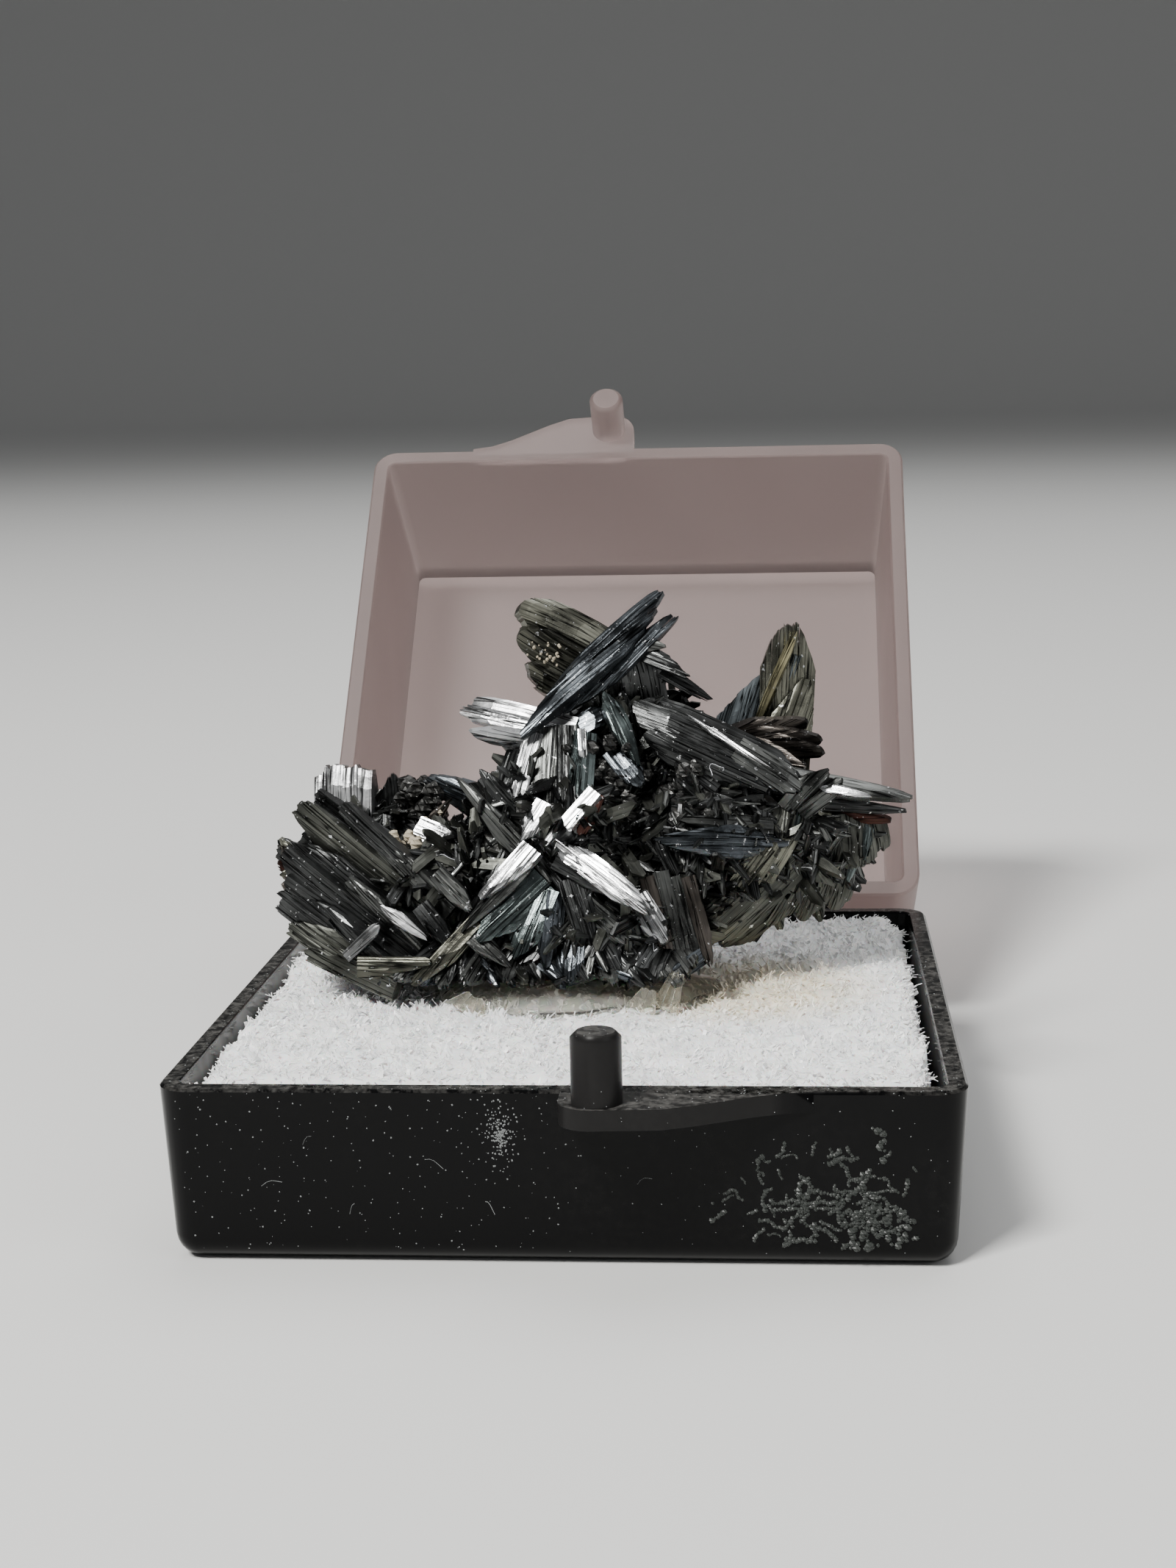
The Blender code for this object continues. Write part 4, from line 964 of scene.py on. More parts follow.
# %% Massive ore
ORE_LUMPS = (((0.6, 3.2, 12.0), (5.0, 3.6, 3.2)), ((-7.6, 2.6, 11.6), (4.2, 3.4, 2.9)),
             ((-1.4, 3.0, 13.4), (4.4, 4.0, 4.8)), ((5.2, 3.6, 13.8), (4.4, 4.0, 4.0)),
             ((10.2, 4.6, 13.6), (2.7, 3.0, 2.2)), ((0.6, 0.6, 10.4), (4.7, 3.3, 2.1)),
             ((1.6, 6.0, 17.8), (3.5, 3.0, 3.3)), ((-10.2, 4.6, 13.2), (2.2, 2.3, 2.1)))


def ore_body():
    form = bmesh.new()
    for centre, radii in ORE_LUMPS:
        made = bmesh.ops.create_icosphere(form, subdivisions=5, radius=1.0)
        for vert in made["verts"]:
            way = vert.co.copy()
            spot = Vector([centre[i] + radii[i] * way[i] for i in range(3)])
            knobs = 0.10 * noise.noise(spot * 0.8) + 0.07 * noise.noise(spot * 2.1)
            chips = 0.05 * abs(noise.noise(spot * 5.0))
            vert.co = Vector([centre[i] + radii[i] * way[i] * (0.93 + knobs - chips) for i in range(3)])
    mesh = bpy.data.meshes.new("ore_body")
    form.to_mesh(mesh)
    form.free()
    mesh.transform(Matrix.Scale(MM, 4))
    return mesh


ore_mesh = ore_body()
print("ore points:", len(ore_mesh.vertices))


# %% [markdown]
# Broken ore is a mosaic of tiny faces, some light and some dark. A Voronoi pattern gives just that:
# each cell gets its own shade and polish, and the cell's height makes it stand out.

# %% The ore's broken surface
def rough_ore():
    mat, tree, shader = new_material("massive_ore")
    place_at = node(tree, "ShaderNodeTexCoord").outputs["Object"]
    cells = node(tree, "ShaderNodeTexVoronoi", {"feature": "F1"}, Vector=place_at, Scale=2600.0)
    grit = node(tree, "ShaderNodeTexNoise", Vector=place_at, Scale=1500.0, Detail=6.0,
                Roughness=0.7).outputs["Fac"]
    light = node(tree, "ShaderNodeSeparateColor", Color=cells.outputs["Color"]).outputs[0]
    shade = blend_colours(tree, spread(tree, light, 0.0, 1.0, 0.55, 1.0), (0.028, 0.028, 0.027, 1.0),
                          (0.16, 0.16, 0.155, 1.0))
    tree.links.new(shade, shader.inputs["Base Color"])
    shader.inputs["Metallic"].default_value = 0.8
    tree.links.new(spread(tree, light, 0.55, 0.25), shader.inputs["Roughness"])
    coarse = bumps(tree, cells.outputs["Distance"], 0.00018, 0.9)
    tree.links.new(bumps(tree, grit, 0.00012, 0.8, coarse), shader.inputs["Normal"])
    return mat


ORE = rough_ore()
ore_mesh.materials.append(ORE)
ore = place("ore_mass", ore_mesh)
print("ore triangles:", triangles(ore))


# %% [markdown]
# Small things here are sown like seed over a surface: little blades on the ore, fibres on the foam
# and dust on the tray. One Geometry Nodes tree does it all. It strews points over a surface, lays
# a small shape on each and makes the result real mesh. Lean and size are random, but the way that
# a shape points follows a slow noise, so neighbours lie nearly side by side, as in a sheaf.

# %% A sowing tree
SIDE_LEAN = 0.25               # radians to either side of the lean
LOOSENESS = 0.45               # radians that a shape may point away from its sheaf
SHEAVES_PER_METRE = 420.0


def sowing_tree():
    tree = bpy.data.node_groups.new("sow_shapes", "GeometryNodeTree")
    wanted = [("Surface", "NodeSocketGeometry"), ("Shape", "NodeSocketObject"),
              ("Per Square Metre", "NodeSocketFloat"), ("Smallest", "NodeSocketFloat"),
              ("Largest", "NodeSocketFloat"), ("Least Lean", "NodeSocketFloat"),
              ("Most Lean", "NodeSocketFloat"), ("Seed", "NodeSocketInt"), ("Finish", "NodeSocketMaterial")]
    for label, kind in wanted:
        tree.interface.new_socket(label, in_out="INPUT", socket_type=kind)
    tree.interface.new_socket("Sown", in_out="OUTPUT", socket_type="NodeSocketGeometry")
    given = tree.nodes.new("NodeGroupInput").outputs
    strew = node(tree, "GeometryNodeDistributePointsOnFaces", Mesh=given["Surface"],
                 Density=given["Per Square Metre"], Seed=given["Seed"])
    shape = node(tree, "GeometryNodeObjectInfo", Object=given["Shape"])
    low = node(tree, "ShaderNodeCombineXYZ", X=given["Least Lean"], Y=-SIDE_LEAN, Z=-LOOSENESS).outputs[0]
    high = node(tree, "ShaderNodeCombineXYZ", X=given["Most Lean"], Y=SIDE_LEAN, Z=LOOSENESS).outputs[0]
    angles = node(tree, "FunctionNodeRandomValue", {"data_type": "FLOAT_VECTOR"}, _0=low, _1=high,
                  Seed=given["Seed"])
    position = tree.nodes.new("GeometryNodeInputPosition").outputs["Position"]
    flow = node(tree, "ShaderNodeTexNoise", Vector=position, Scale=SHEAVES_PER_METRE,
                Detail=1.0).outputs["Fac"]
    sheaf_turn = spread(tree, flow, 0.0, 4 * math.pi, 0.2, 0.8)
    sheaf_way = node(tree, "ShaderNodeCombineXYZ", X=0.0, Y=0.0, Z=sheaf_turn)
    pointing = node(tree, "ShaderNodeVectorMath", {"operation": "ADD"}, _0=angles.outputs[0],
                    _1=sheaf_way.outputs[0])
    random_turn = node(tree, "FunctionNodeEulerToRotation", Euler=pointing.outputs[0]).outputs[0]
    turned = node(tree, "FunctionNodeRotateRotation", {"rotation_space": "LOCAL"},
                  Rotation=strew.outputs["Rotation"], Rotate_By=random_turn).outputs[0]
    size = node(tree, "FunctionNodeRandomValue", {"data_type": "FLOAT"}, _2=given["Smallest"],
                _3=given["Largest"], Seed=given["Seed"]).outputs[1]
    stood = node(tree, "GeometryNodeInstanceOnPoints", Points=strew.outputs["Points"],
                 Instance=shape.outputs["Geometry"], Rotation=turned, Scale=size)
    real = node(tree, "GeometryNodeRealizeInstances", Geometry=stood.outputs["Instances"])
    finish = node(tree, "GeometryNodeSetMaterial", Geometry=real.outputs["Geometry"],
                  Material=given["Finish"])
    out = tree.nodes.new("NodeGroupOutput")
    tree.links.new(finish.outputs["Geometry"], out.inputs["Sown"])
    return tree


print("sowing tree written")


# %% [markdown]
# To sow, the tree is put on a copy of the surface as a modifier, its inputs are filled in, and the
# result is taken as a plain mesh. The modifier's inputs go by identifiers, which the tree's interface
# lists by name.

# %% Sowing on a surface
SOWING = sowing_tree()


def sow(name, surface, shape, per_square_mm, sizes, leans, seed, material):
    """Sow a shape over a surface mesh; the result is one plain mesh, placed on the tray."""
    carrier = bpy.data.objects.new(name, surface)
    bpy.context.scene.collection.objects.link(carrier)
    mod = carrier.modifiers.new("sowing", "NODES")
    mod.node_group = SOWING
    values = {"Shape": shape, "Per Square Metre": per_square_mm / MM ** 2, "Smallest": sizes[0],
              "Largest": sizes[1], "Least Lean": leans[0], "Most Lean": leans[1], "Seed": seed,
              "Finish": material}
    sockets = {item.name: item.identifier for item in SOWING.interface.items_tree if item.in_out == "INPUT"}
    for label, value in values.items():
        mod[sockets[label]] = value
    graph = bpy.context.evaluated_depsgraph_get()
    mesh = bpy.data.meshes.new_from_object(carrier.evaluated_get(graph))
    mesh.name = name
    bpy.data.objects.remove(carrier, do_unlink=True)
    sown = place(name, mesh)
    print(name, "triangles:", triangles(sown))
    return sown


def kept_faces(mesh, keep):
    """A copy of a mesh with only the faces that keep() says yes to."""
    form = bmesh.new()
    form.from_mesh(mesh)
    bmesh.ops.delete(form, geom=[face for face in form.faces if not keep(face)], context="FACES")
    cut = bpy.data.meshes.new("kept_faces")
    form.to_mesh(cut)
    form.free()
    return cut


print("sowing tree has", len(SOWING.nodes), "nodes")


# %% [markdown]
# Little blades lie all over the ore, most of them nearly flat on it, so that the gaps between the
# large crystals are filled with broken, glinting ends. Each seed is one short lath of a few dozen
# faces; five kinds are sown, from small to middling.

# %% Little blades on the ore
def seed_blade(name, length, width, thick, tint):
    form = Form()
    shares = (0.8, 0.9, 1.0, 0.95)
    lath(form, Vector((0, 0, -0.2 * length)), Vector((0, 0, 1)), Vector((1, 0, 0)), Vector((0, 1, 0)),
         [0.0] * len(shares), [length * share for share in shares], width, thick, tint, (0.0, 0.6, 1.0))
    return form.finish(name, MANGANITE, body=None)


SEEDS = (                      # length, width, thickness, tint and how many to a square millimetre
    ("small_grey", 2.0, 0.30, 0.2, STEEL, 2.6), ("small_dark", 1.7, 0.26, 0.22, DARK, 2.7),
    ("small_bright", 0.8, 0.2, 0.15, PAINTED_FLASH, 0.5), ("middling_grey", 2.6, 0.55, 0.4, DULL, 0.6),
    ("middling_dark", 2.4, 0.6, 0.45, DARK, 0.6))
SEED_SIZES = (0.5, 1.15)
SEED_LEANS = (1.0, 1.55)       # radians from upright
for seed, (name, length, width, thick, tint, density) in enumerate(SEEDS):
    shape = seed_blade("seed_" + name, length, width, thick, tint)
    sow(name + "_blades", ore_mesh.copy(), shape, density, SEED_SIZES, SEED_LEANS, seed + 3, MANGANITE)
    bpy.data.objects.remove(shape, do_unlink=True)


# %% [markdown]
# Crumbs of beige matrix sit in the hollows of the upper left, and knobs of ore on the mass. A crumb
# is a small rock: a ball of three rings with its points pushed about. At this size nobody could
# tell it from a finer one.

# %% Crumbs and knobs
def plain_material(name, colour, roughness):
    mat, _, shader = new_material(name)
    shader.inputs["Base Color"].default_value = (*colour, 1.0)
    shader.inputs["Roughness"].default_value = roughness
    return mat


CRUMB = plain_material("beige_crumbs", (0.42, 0.37, 0.28), 0.85)


def rock(form, centre, size):
    """Add a small rock: a cut-down sphere with its points pushed about."""
    rings, sides = 3, 6
    ball = [Vector((0, 0, 1)), Vector((0, 0, -1))]
    for ring in range(rings):
        high = math.pi * (ring + 1) / (rings + 1)
        for side in range(sides):
            turn = 2 * math.pi * (side + 0.5 * ring) / sides
            ball.append(Vector((math.sin(high) * math.cos(turn), math.sin(high) * math.sin(turn),
                                math.cos(high))))
    points = [Vector(centre) + point * size * dice.uniform(0.7, 1.1) for point in ball]
    faces = []
    for side in range(sides):
        after = (side + 1) % sides
        faces.append((0, 2 + side, 2 + after))
        low = 2 + (rings - 1) * sides
        faces.append((1, low + after, low + side))
        for ring in range(rings - 1):
            a = 2 + ring * sides
            faces.append((a + side, a + sides + side, a + sides + after, a + after))
    form.add(points, faces)


def heap(form, count, middle, reach, smallest, largest):
    """Add rocks scattered round a middle point."""
    for _ in range(count):
        spot = [middle[i] + dice.uniform(-reach[i], reach[i]) for i in range(3)]
        rock(form, spot, dice.uniform(smallest, largest))


crumbs = Form()
heap(crumbs, 26, (-8.7, 1.0, 13.8), (0.7, 0.4, 0.9), 0.12, 0.34)
heap(crumbs, 22, (-2.4, 6.0, 22.6), (0.8, 0.2, 0.6), 0.04, 0.11)
heap(crumbs, 10, (-7.7, 3.2, 14.9), (0.5, 0.4, 0.4), 0.1, 0.25)
crumbs.finish("beige_crumbs", CRUMB, slot="manganite")

knobs = Form()
heap(knobs, 60, (-8.6, 5.0, 15.1), (1.1, 0.9, 1.4), 0.25, 0.6)
heap(knobs, 30, (0.6, 1.6, 17.6), (1.6, 0.6, 1.4), 0.2, 0.45)
heap(knobs, 30, (3.4, 1.3, 16.2), (2.2, 0.8, 1.5), 0.2, 0.5)
knobs.finish("ore_knobs", ORE, slot="manganite")
print("crumbs and knobs:", len(crumbs.faces) + len(knobs.faces), "faces")


# %% [markdown]
# Curls of pale lint hang on the crystals. A curve with a bevel would do for one, but here they share
# a piece, so each is a three-sided tube led through points on a loose ring.

# %% Curls of lint
LINT = plain_material("pale_lint", (0.66, 0.68, 0.72), 0.5)
LINT_THICKNESS = 0.016         # millimetres, from its middle to a corner


def curl(form, points, thick=LINT_THICKNESS):
    """Add a three-sided tube through a row of points."""
    points = [Vector(point) for point in points]
    made = []
    for i, point in enumerate(points):
        way = (points[min(i + 1, len(points) - 1)] - points[max(i - 1, 0)]).normalized()
        side = way.cross(Vector((0.3, 0.9, 0.2))).normalized()
        other = way.cross(side)
        for turn in range(3):
            angle = 2 * math.pi * turn / 3
            made.append(point + (side * math.cos(angle) + other * math.sin(angle)) * thick)
    last = 3 * (len(points) - 1)
    faces = [(2, 1, 0), (last, last + 1, last + 2)]
    for row in range(len(points) - 1):
        for i in range(3):
            j = (i + 1) % 3
            faces.append((row * 3 + i, row * 3 + j, (row + 1) * 3 + j, (row + 1) * 3 + i))
    form.add(made, faces)


def ring_of_lint(middle, across, up, turns, steps=48):
    """Points of a loose curl of lint round a middle point."""
    points = []
    for i in range(steps + 1):
        t = 2 * math.pi * turns * i / steps
        points.append((middle[0] + across * (1 + 0.5 * math.sin(1.3 * t)) * math.cos(t),
                       middle[1] - 0.15 * math.sin(1.7 * t),
                       middle[2] + up * (1 + 0.2 * math.cos(3.1 * t)) * math.sin(t)))
    return points


lint = Form()
curl(lint, ring_of_lint((-6.7, 0.3, 13.4), 0.42, 0.40, 1.3))
curl(lint, ring_of_lint((-6.4, 0.2, 12.9), 0.25, 0.5, 0.8))
curl(lint, ring_of_lint((6.0, 1.0, 17.6), 0.35, 0.3, 0.6))
curl(lint, ring_of_lint((3.3, -2.6, 10.3), 0.22, 0.35, 0.8))
lint.finish("curls_of_lint", LINT, slot="manganite")
print("lint:", len(lint.faces), "faces")


# %% [markdown]
# The foam is a pad of white fibrous stuff, like crushed fleece. White things lose their form in
# strong light, so the material keeps some: painted shade makes its tufts a shade darker in their
# hollows, a little light passes through, and a warm stain shows where tack has yellowed it.

# %% Foam materials
FOAM_TOP = 7.1                 # millimetres above the tray's underside
WARM_MIDDLE = Vector((7.5, 0.5, FOAM_TOP)) * MM     # the foam is yellowed by tack round here
WARM_TINT = (0.95, 0.88, 0.74, 1.0)


def foam_material(name, dark, light, roughness, glow):
    mat, tree, shader = new_material(name)
    place_at = node(tree, "ShaderNodeTexCoord").outputs["Object"]
    tufts = node(tree, "ShaderNodeTexNoise", Vector=place_at, Scale=900.0, Detail=5.0).outputs["Fac"]
    # Painted shade: the noise's low parts, standing for hollows between tufts, get the darker colour.
    shade = blend_colours(tree, spread(tree, tufts, 0.0, 1.0, 0.35, 0.65), dark, light)
    from_tack = node(tree, "ShaderNodeVectorMath", {"operation": "DISTANCE"}, _0=place_at, _1=WARM_MIDDLE)
    warmth = spread(tree, from_tack.outputs["Value"], 1.0, 0.0, 3.0 * MM, 7.0 * MM)
    warmed = blend_colours(tree, warmth, shade, WARM_TINT, "MULTIPLY")
    tree.links.new(warmed, shader.inputs["Base Color"])
    shader.inputs["Roughness"].default_value = roughness
    shader.inputs["Subsurface Weight"].default_value = glow
    shader.inputs["Subsurface Scale"].default_value = 0.4 * MM
    tree.links.new(bumps(tree, tufts, 0.00015, 0.6), shader.inputs["Normal"])
    return mat


FOAM = foam_material("white_foam_body", (0.80, 0.81, 0.81, 1.0), (0.95, 0.95, 0.94, 1.0), 0.6, 0.3)
FIBRE = foam_material("white_foam_fibres", (0.90, 0.91, 0.92, 1.0), (0.97, 0.97, 0.96, 1.0), 0.3, 0.0)


print("foam materials ready")


# %% [markdown]
# The pad's body could be a box with a bump map, but its top edge is seen against the black tray,
# where a straight line would give it away. So it is a fine grid, tufted by noise, swelling a little
# towards the walls and rounded down unevenly at its edge.

# %% The pad
FOAM_LOW, FOAM_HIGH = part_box("foam_insert")
PAD_HALF = FOAM_HIGH.x / MM + 0.25     # its fibres press against the tray's walls
FOAM_CELLS = 110               # to each side of the grid
BROAD_TUFT, FINE_TUFT = 0.34, 0.26     # millimetres
SWELL = 0.35
EDGE_WIDTH, EDGE_FALL, EDGE_WAVE = 0.9, 0.6, 0.5


def foam_pad():
    """The pad's body: a fine grid, tufted by noise and rounded down at its ragged edge."""
    form = bmesh.new()
    bmesh.ops.create_grid(form, x_segments=FOAM_CELLS, y_segments=FOAM_CELLS, size=PAD_HALF)
    for vert in form.verts:
        x, y = vert.co.x, vert.co.y
        edge = PAD_HALF - max(abs(x), abs(y))
        ragged = EDGE_WAVE * noise.noise(Vector((x, y, 9.0)) * 0.7)
        fall = max(0.0, 1.0 - (edge + ragged) / EDGE_WIDTH)
        broad = BROAD_TUFT * noise.noise(Vector((x, y, 0.0)) * 0.9)
        tuft = broad + FINE_TUFT * noise.noise(Vector((x, y, 5.0)) * 2.6)
        swell = SWELL * max(0.0, max(abs(x), y) / PAD_HALF) ** 2
        vert.co.z = FOAM_TOP + tuft + swell - EDGE_FALL * fall * fall
    skirt = bmesh.ops.extrude_edge_only(form, edges=[edge for edge in form.edges if edge.is_boundary])
    for item in skirt["geom"]:
        if isinstance(item, bmesh.types.BMVert):
            item.co.z = FOAM_LOW.z / MM
    bmesh.ops.contextual_create(form, geom=[edge for edge in form.edges if edge.is_boundary])
    bmesh.ops.recalc_face_normals(form, faces=form.faces)
    bmesh.ops.scale(form, vec=(MM, MM, MM), verts=form.verts)
    mesh = bpy.data.meshes.new("foam_pad")
    form.to_mesh(mesh)
    form.free()
    mesh.shade_smooth()
    mesh.materials.append(FOAM)
    return mesh


pad_mesh = foam_pad()
foam = place("foam_pad", pad_mesh)
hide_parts("foam_insert")
print("foam pad triangles:", triangles(foam))


# %% [markdown]
# Short glassy fibres and flakes stand up all over the foam. Hair would be the usual way, but an
# export drops it, so the same sowing tree sows two bent little tubes, one thin and one broad.

# %% Fibres and flakes
def fibre_shape(name, length, thick, bend):
    """A short bent fibre of three sides."""
    form = Form()
    steps = (0.0, 0.33, 0.67, 1.0)
    curl(form, [(bend * math.sin(t * 2.2), 0.0, length * (t - 0.35)) for t in steps], thick)
    return form.finish(name, FIBRE, body=None)


FIBRES = (                     # length, thickness, bend and how many to a square millimetre
    ("foam_fibres", 0.75, 0.026, 0.3, 8.0), ("foam_flakes", 0.42, 0.09, 0.1, 6.0))
FIBRE_SIZES, FIBRE_LEANS = (0.45, 1.1), (0.4, 1.5)
FIRST_FIBRE_SEED = 11
for number, (name, length, thick, bend, density) in enumerate(FIBRES):
    shape = fibre_shape("seed_" + name, length, thick, bend)
    top = kept_faces(pad_mesh, lambda face: face.normal.z > 0.3)
    sow(name, top, shape, density, FIBRE_SIZES, FIBRE_LEANS, FIRST_FIBRE_SEED + number, FIBRE)
    bpy.data.objects.remove(shape, do_unlink=True)


# %% [markdown]
# Clear tack holds the specimen. It has spread under the crystals as a low, yellowish bed. It is
# clear stuff with real transmission, and a flattened ball with a wavy outline gives its pressed,
# rounded rim better than a flat disc would.

# %% The bed of tack
TACK_MIDDLE = (-1.2, 0.4, 7.35)
TACK_REACH = (7.0, 4.0, 0.85)


def tack_material():
    mat, tree, shader = new_material("clear_yellow_tack")
    place_at = node(tree, "ShaderNodeTexCoord").outputs["Object"]
    shader.inputs["Base Color"].default_value = (0.97, 0.94, 0.84, 1.0)
    shader.inputs["Transmission Weight"].default_value = 0.92
    shader.inputs["IOR"].default_value = 1.45
    shader.inputs["Roughness"].default_value = 0.06
    waves = node(tree, "ShaderNodeTexNoise", Vector=place_at, Scale=600.0, Detail=3.0).outputs["Fac"]
    tree.links.new(bumps(tree, waves, 0.0002, 0.5), shader.inputs["Normal"])
    return mat


TACK = tack_material()


def tack_bed():
    form = bmesh.new()
    made = bmesh.ops.create_icosphere(form, subdivisions=5, radius=1.0)
    for vert in made["verts"]:
        way = vert.co
        angle = math.atan2(way.y, way.x)
        wave = 1 + 0.07 * math.sin(3 * angle + 0.6) + 0.04 * math.sin(7 * angle)
        wave += 0.06 * noise.noise(way * 3.0)
        lumps = 1 + 0.2 * noise.noise(way * 4.0)
        stretch = (way.x * wave, way.y * wave, way.z * lumps)
        vert.co = Vector([TACK_MIDDLE[i] + TACK_REACH[i] * stretch[i] for i in range(3)])
    bmesh.ops.scale(form, vec=(MM, MM, MM), verts=form.verts)
    mesh = bpy.data.meshes.new("tack_bed")
    form.to_mesh(mesh)
    form.free()
    mesh.shade_smooth()
    mesh.materials.append(TACK)
    return mesh


tack = place("tack_bed", tack_bed())
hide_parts("mounting_tack")


print("tack bed triangles:", triangles(tack))


# %% [markdown]
# Where the tack was pulled it stands up in thin, folded shards. A cloth simulation could fold them,
# but a shard is only a small fan: columns of points that stand alternately forward and back, closed
# all round to a thin sheet.

# %% Folded shards of tack
SHARD_THICKNESS = 0.07         # millimetres
FOLD_DEPTH = 0.22


def folded_shard(form, low, high, width, folds):
    """Add a thin sheet of tack that stands up and is folded like a fan."""
    low, high = Vector(low), Vector(high)
    up = high - low
    side = up.cross(Vector((0.2, 1.0, 0.1))).normalized()
    out = side.cross(up).normalized()
    columns = 2 * folds + 1
    points = []
    for face in (1, -1):
        for level in (0.0, 0.5, 1.0):
            for i in range(columns):
                across = (i / (columns - 1) - 0.5) * width * (1.0 - 0.55 * level)
                fold = FOLD_DEPTH * (i % 2) * (1.0 - 0.4 * level) + 0.3 * level * level
                reach = up * (level * dice.uniform(0.8, 1.0))
                points.append(low + reach + side * across + out * (fold + face * SHARD_THICKNESS / 2))
    faces = []
    sheet = 3 * columns
    for row in range(2):
        for i in range(columns - 1):
            a = row * columns + i
            faces.append((a, a + 1, a + columns + 1, a + columns))
            faces.append((sheet + a, sheet + a + columns, sheet + a + columns + 1, sheet + a + 1))
    rim = list(range(columns)) + [2 * columns - 1]
    rim += list(range(3 * columns - 1, 2 * columns - 1, -1)) + [columns]
    for i, point in enumerate(rim):
        after = rim[(i + 1) % len(rim)]
        faces.append((point, sheet + point, sheet + after, after))
    form.add(points, faces)


shards = Form()
folded_shard(shards, (3.7, -3.4, 7.3), (4.3, -3.6, 9.1), 1.4, 3)
folded_shard(shards, (2.6, -3.7, 7.3), (3.0, -3.9, 8.4), 1.5, 2)
folded_shard(shards, (-5.4, -3.6, 7.2), (-5.0, -3.8, 8.0), 2.2, 3)
shard_piece = shards.finish("tack_shards", TACK, slot="clear_tack")
print("tack shard triangles:", triangles(shard_piece))


# %% [markdown]
# Last, dust. Specks cling to the tray's front, thickest on its left half, and lie on the ledges and
# on the crystals. White dots in a material would be flat, while real grains catch the light and
# break the silhouette. So tiny grains are sown, and the first step is to say which faces get them.

# %% Where dust lies
DUST = plain_material("pale_dust", (0.22, 0.23, 0.23), 0.9)
GRAIN_RADIUS = 0.038
FRONT_DEPTH = -15.0            # the tray's front faces lie beyond this y
RIM_HEIGHT = 5.0
DUSTY_HALF = 16.1              # no grain may stand out past the tray's sides or its latch
DUSTY_FRONT = -18.7
grain_form = Form()
rock(grain_form, (0.0, 0.0, 0.0), GRAIN_RADIUS)
dust_grain = grain_form.finish("dust_grain", DUST, body=None)


def front_face(face, left_of):
    middle = face.calc_center_median() / MM
    faces_front = face.normal.y < -0.9 and middle.y < FRONT_DEPTH
    return faces_front and -DUSTY_HALF < middle.x < min(left_of, DUSTY_HALF)


def on_the_rim(face):
    middle = face.calc_center_median() / MM
    within = abs(middle.x) < DUSTY_HALF and middle.y > DUSTY_FRONT
    return within and face.normal.z > 0.5 and middle.z > RIM_HEIGHT


def cut_fine(mesh, cuts):
    """A copy of a mesh with its edges cut, so that parts of a large face can be told apart."""
    form = bmesh.new()
    form.from_mesh(mesh)
    bmesh.ops.subdivide_edges(form, edges=form.edges, cuts=cuts, use_grid_fill=True)
    fine = bpy.data.meshes.new("fine")
    form.to_mesh(fine)
    form.free()
    return fine


print("a grain of dust has", triangles(dust_grain), "triangles")


# %% [markdown]
# Each sowing uses a copy of the very faces that carry the dust, so every grain sits on something. The
# tray's own walls are too large to choose from, and are cut into small faces first.

# %% Dust on the tray and on the crystals
ANY_LEAN = (0.0, 1.5)          # radians from upright
CUTS = 9                       # in each edge of the tray's mesh
LEFT_PART = 1.0                # the thick dust ends at this x
fine_tray = cut_fine(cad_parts["box_base"].data, CUTS)
DUSTY_PLACES = (               # faces, grains to a square millimetre, sizes and seed
    ("front_dust", lambda face: front_face(face, DUSTY_HALF), 0.8, (0.3, 0.9), 21),
    ("left_dust", lambda face: front_face(face, LEFT_PART), 1.6, (0.3, 1.2), 22),
    ("rim_dust", on_the_rim, 3.0, (0.3, 1.1), 23))
for name, dusty, density, sizes, seed in DUSTY_PLACES:
    sow(name, kept_faces(fine_tray, dusty), dust_grain, density, sizes, ANY_LEAN, seed, DUST)

FIRST_CRYSTAL_SEED = 24
for number, carrier in enumerate((crown_piece, left_piece, star_piece, right_piece)):
    lit = kept_faces(carrier.data, lambda face: face.normal.z > 0.2)
    sow("crystal_dust_" + str(number), lit, dust_grain, 0.3, (0.25, 0.7), ANY_LEAN,
        FIRST_CRYSTAL_SEED + number, DUST)
bpy.data.objects.remove(dust_grain, do_unlink=True)


# %% [markdown]
# The right half of the tray's front carries a patch of dried residue: lumpy threads of it, in each
# other's way, with a granular corner. A stain would lie flat, so it is built up: small rocks are
# dropped along wandering paths. All of it follows the front face, which leans back a little
# towards its foot.

# %% Residue on the front
FRONT_TOP_Y, FRONT_FOOT_Y, FRONT_HEIGHT = -16.5, -16.07, 7.6
RESIDUE_LOW, RESIDUE_HIGH = (6.2, 0.9), (14.4, 6.0)    # x and z of the patch's corners
RESIDUE_PATHS = 95
GRANULAR_PARTS = ((90, 12.9, 1.8, 1.2, 0.9), (12, 12.9, 5.4, 0.3, 0.7))    # count, x, z and reach
RESIDUE = plain_material("dried_residue", (0.030, 0.034, 0.031), 0.45)


def on_front(x, z):
    return Vector((x, FRONT_FOOT_Y + (FRONT_TOP_Y - FRONT_FOOT_Y) * z / FRONT_HEIGHT, z))


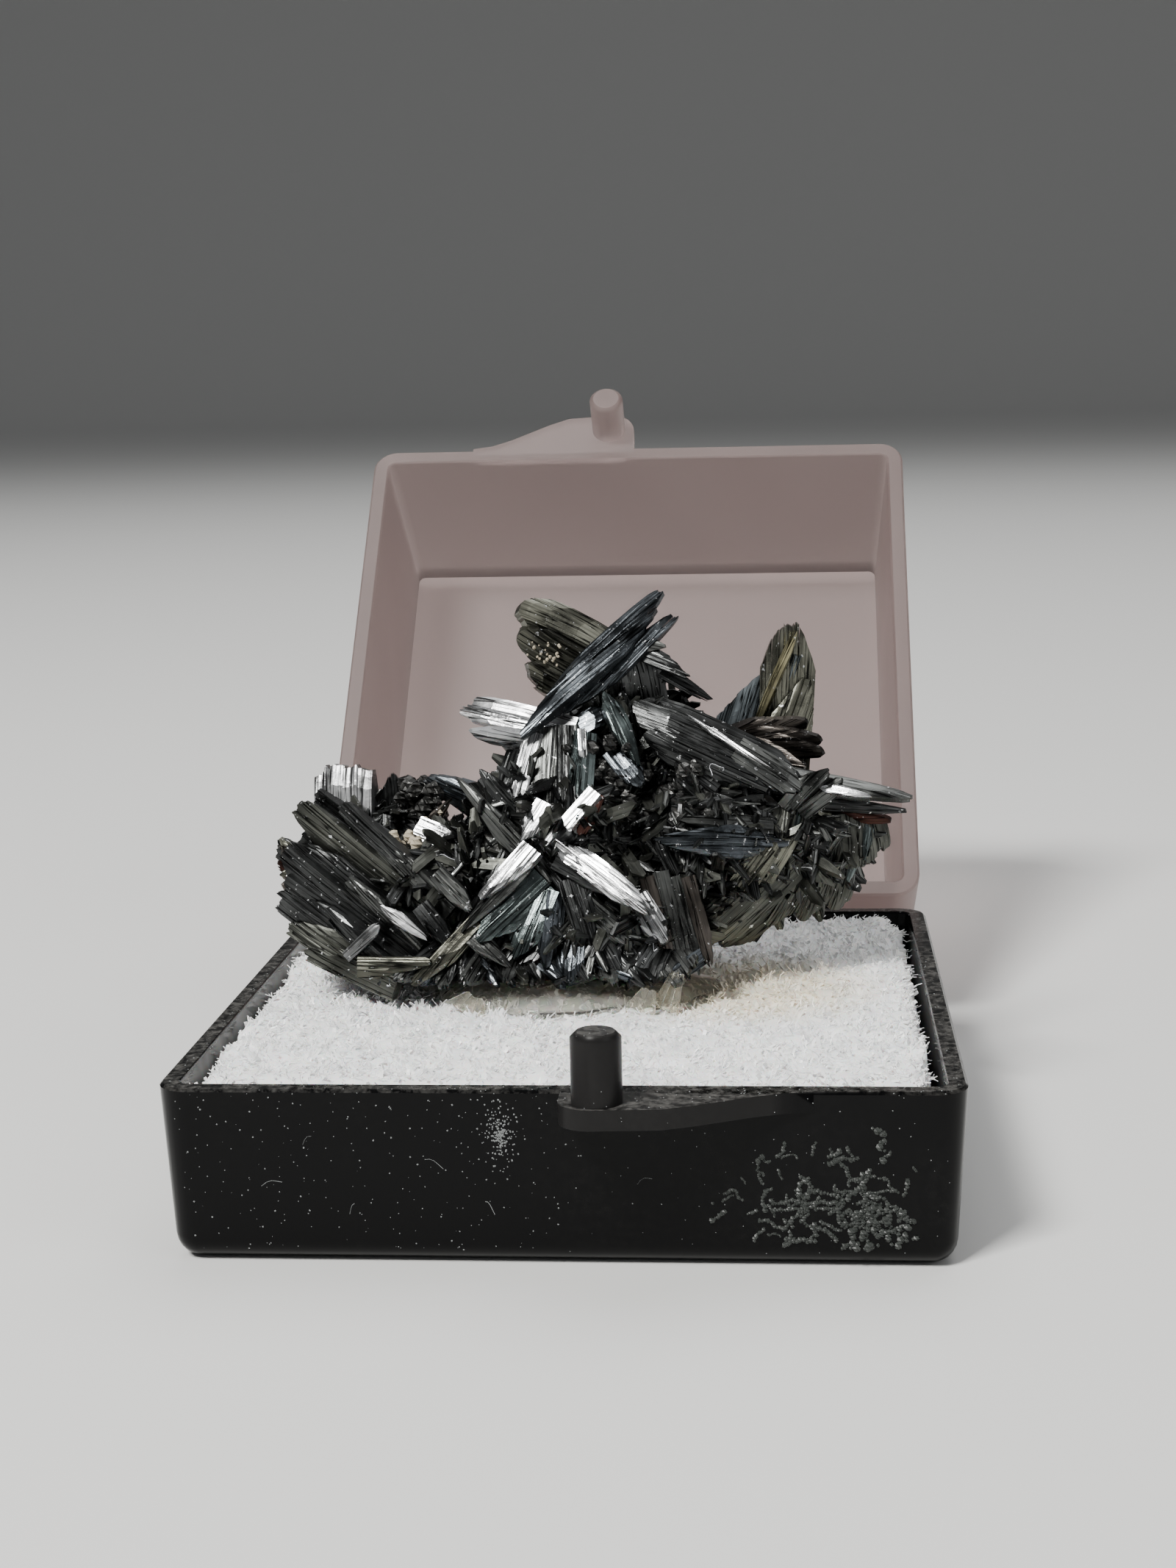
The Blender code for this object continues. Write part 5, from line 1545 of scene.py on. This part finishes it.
residue = Form()
for _ in range(RESIDUE_PATHS):
    x, z = dice.gauss(10.6, 1.9), dice.gauss(2.9, 1.2)
    way = dice.uniform(0.0, 2 * math.pi)
    thick = dice.uniform(0.06, 0.15)
    for _ in range(dice.randint(5, 11)):
        way += dice.uniform(-0.7, 0.7)
        x += thick * math.cos(way)
        z += thick * math.sin(way)
        if RESIDUE_LOW[0] < x < RESIDUE_HIGH[0] and RESIDUE_LOW[1] < z < RESIDUE_HIGH[1]:
            rock(residue, on_front(x, z), thick * dice.uniform(0.6, 1.1))
for count, x, z, reach_x, reach_z in GRANULAR_PARTS:
    for _ in range(count):
        spot = on_front(x + dice.uniform(-reach_x, reach_x), z + dice.uniform(-reach_z, reach_z))
        rock(residue, spot, dice.uniform(0.08, 0.2))
residue.finish("front_residue", RESIDUE, slot="black_plastic")


print("residue:", len(residue.faces), "faces")


# %% [markdown]
# To the left of the residue are a few dull threads and a smear of powder. The threads are the lint's
# tubes again, and the powder is a cloud of tiny rocks, thickest in its middle.

# %% Threads and powder on the front
THREADS = (                    # x, z, length and angle
    (-12.2, 3.4, 0.9, 0.3), (-8.6, 2.2, 0.6, 1.2), (-5.4, 4.6, 0.8, -0.4), (-10.4, 5.2, 0.6, 0.9),
    (-3.0, 2.8, 0.6, -0.9), (3.2, 3.6, 0.7, 0.5))
THREAD_THICKNESS = 0.012
threads = Form()
for x, z, length, angle in THREADS:
    path = [(x + length * t * math.cos(angle), z + length * t * math.sin(angle) + 0.12 * math.sin(4 * t))
            for t in (0.0, 0.25, 0.5, 0.75, 1.0)]
    curl(threads, [on_front(*spot) for spot in path], THREAD_THICKNESS)
threads.finish("front_threads", DUST, slot="black_plastic")

POWDER_GRAINS = 260
powder = Form()
for _ in range(POWDER_GRAINS):
    away, angle = abs(dice.gauss(0.0, 0.7)), dice.uniform(0.0, 2 * math.pi)
    spot = on_front(-2.3 + 0.6 * away * math.cos(angle), 5.7 + 1.1 * away * math.sin(angle))
    rock(powder, spot, dice.uniform(0.02, 0.05))
powder.finish("powder_spot", DUST, slot="black_plastic")
print("threads and powder:", len(threads.faces) + len(powder.faces), "faces")
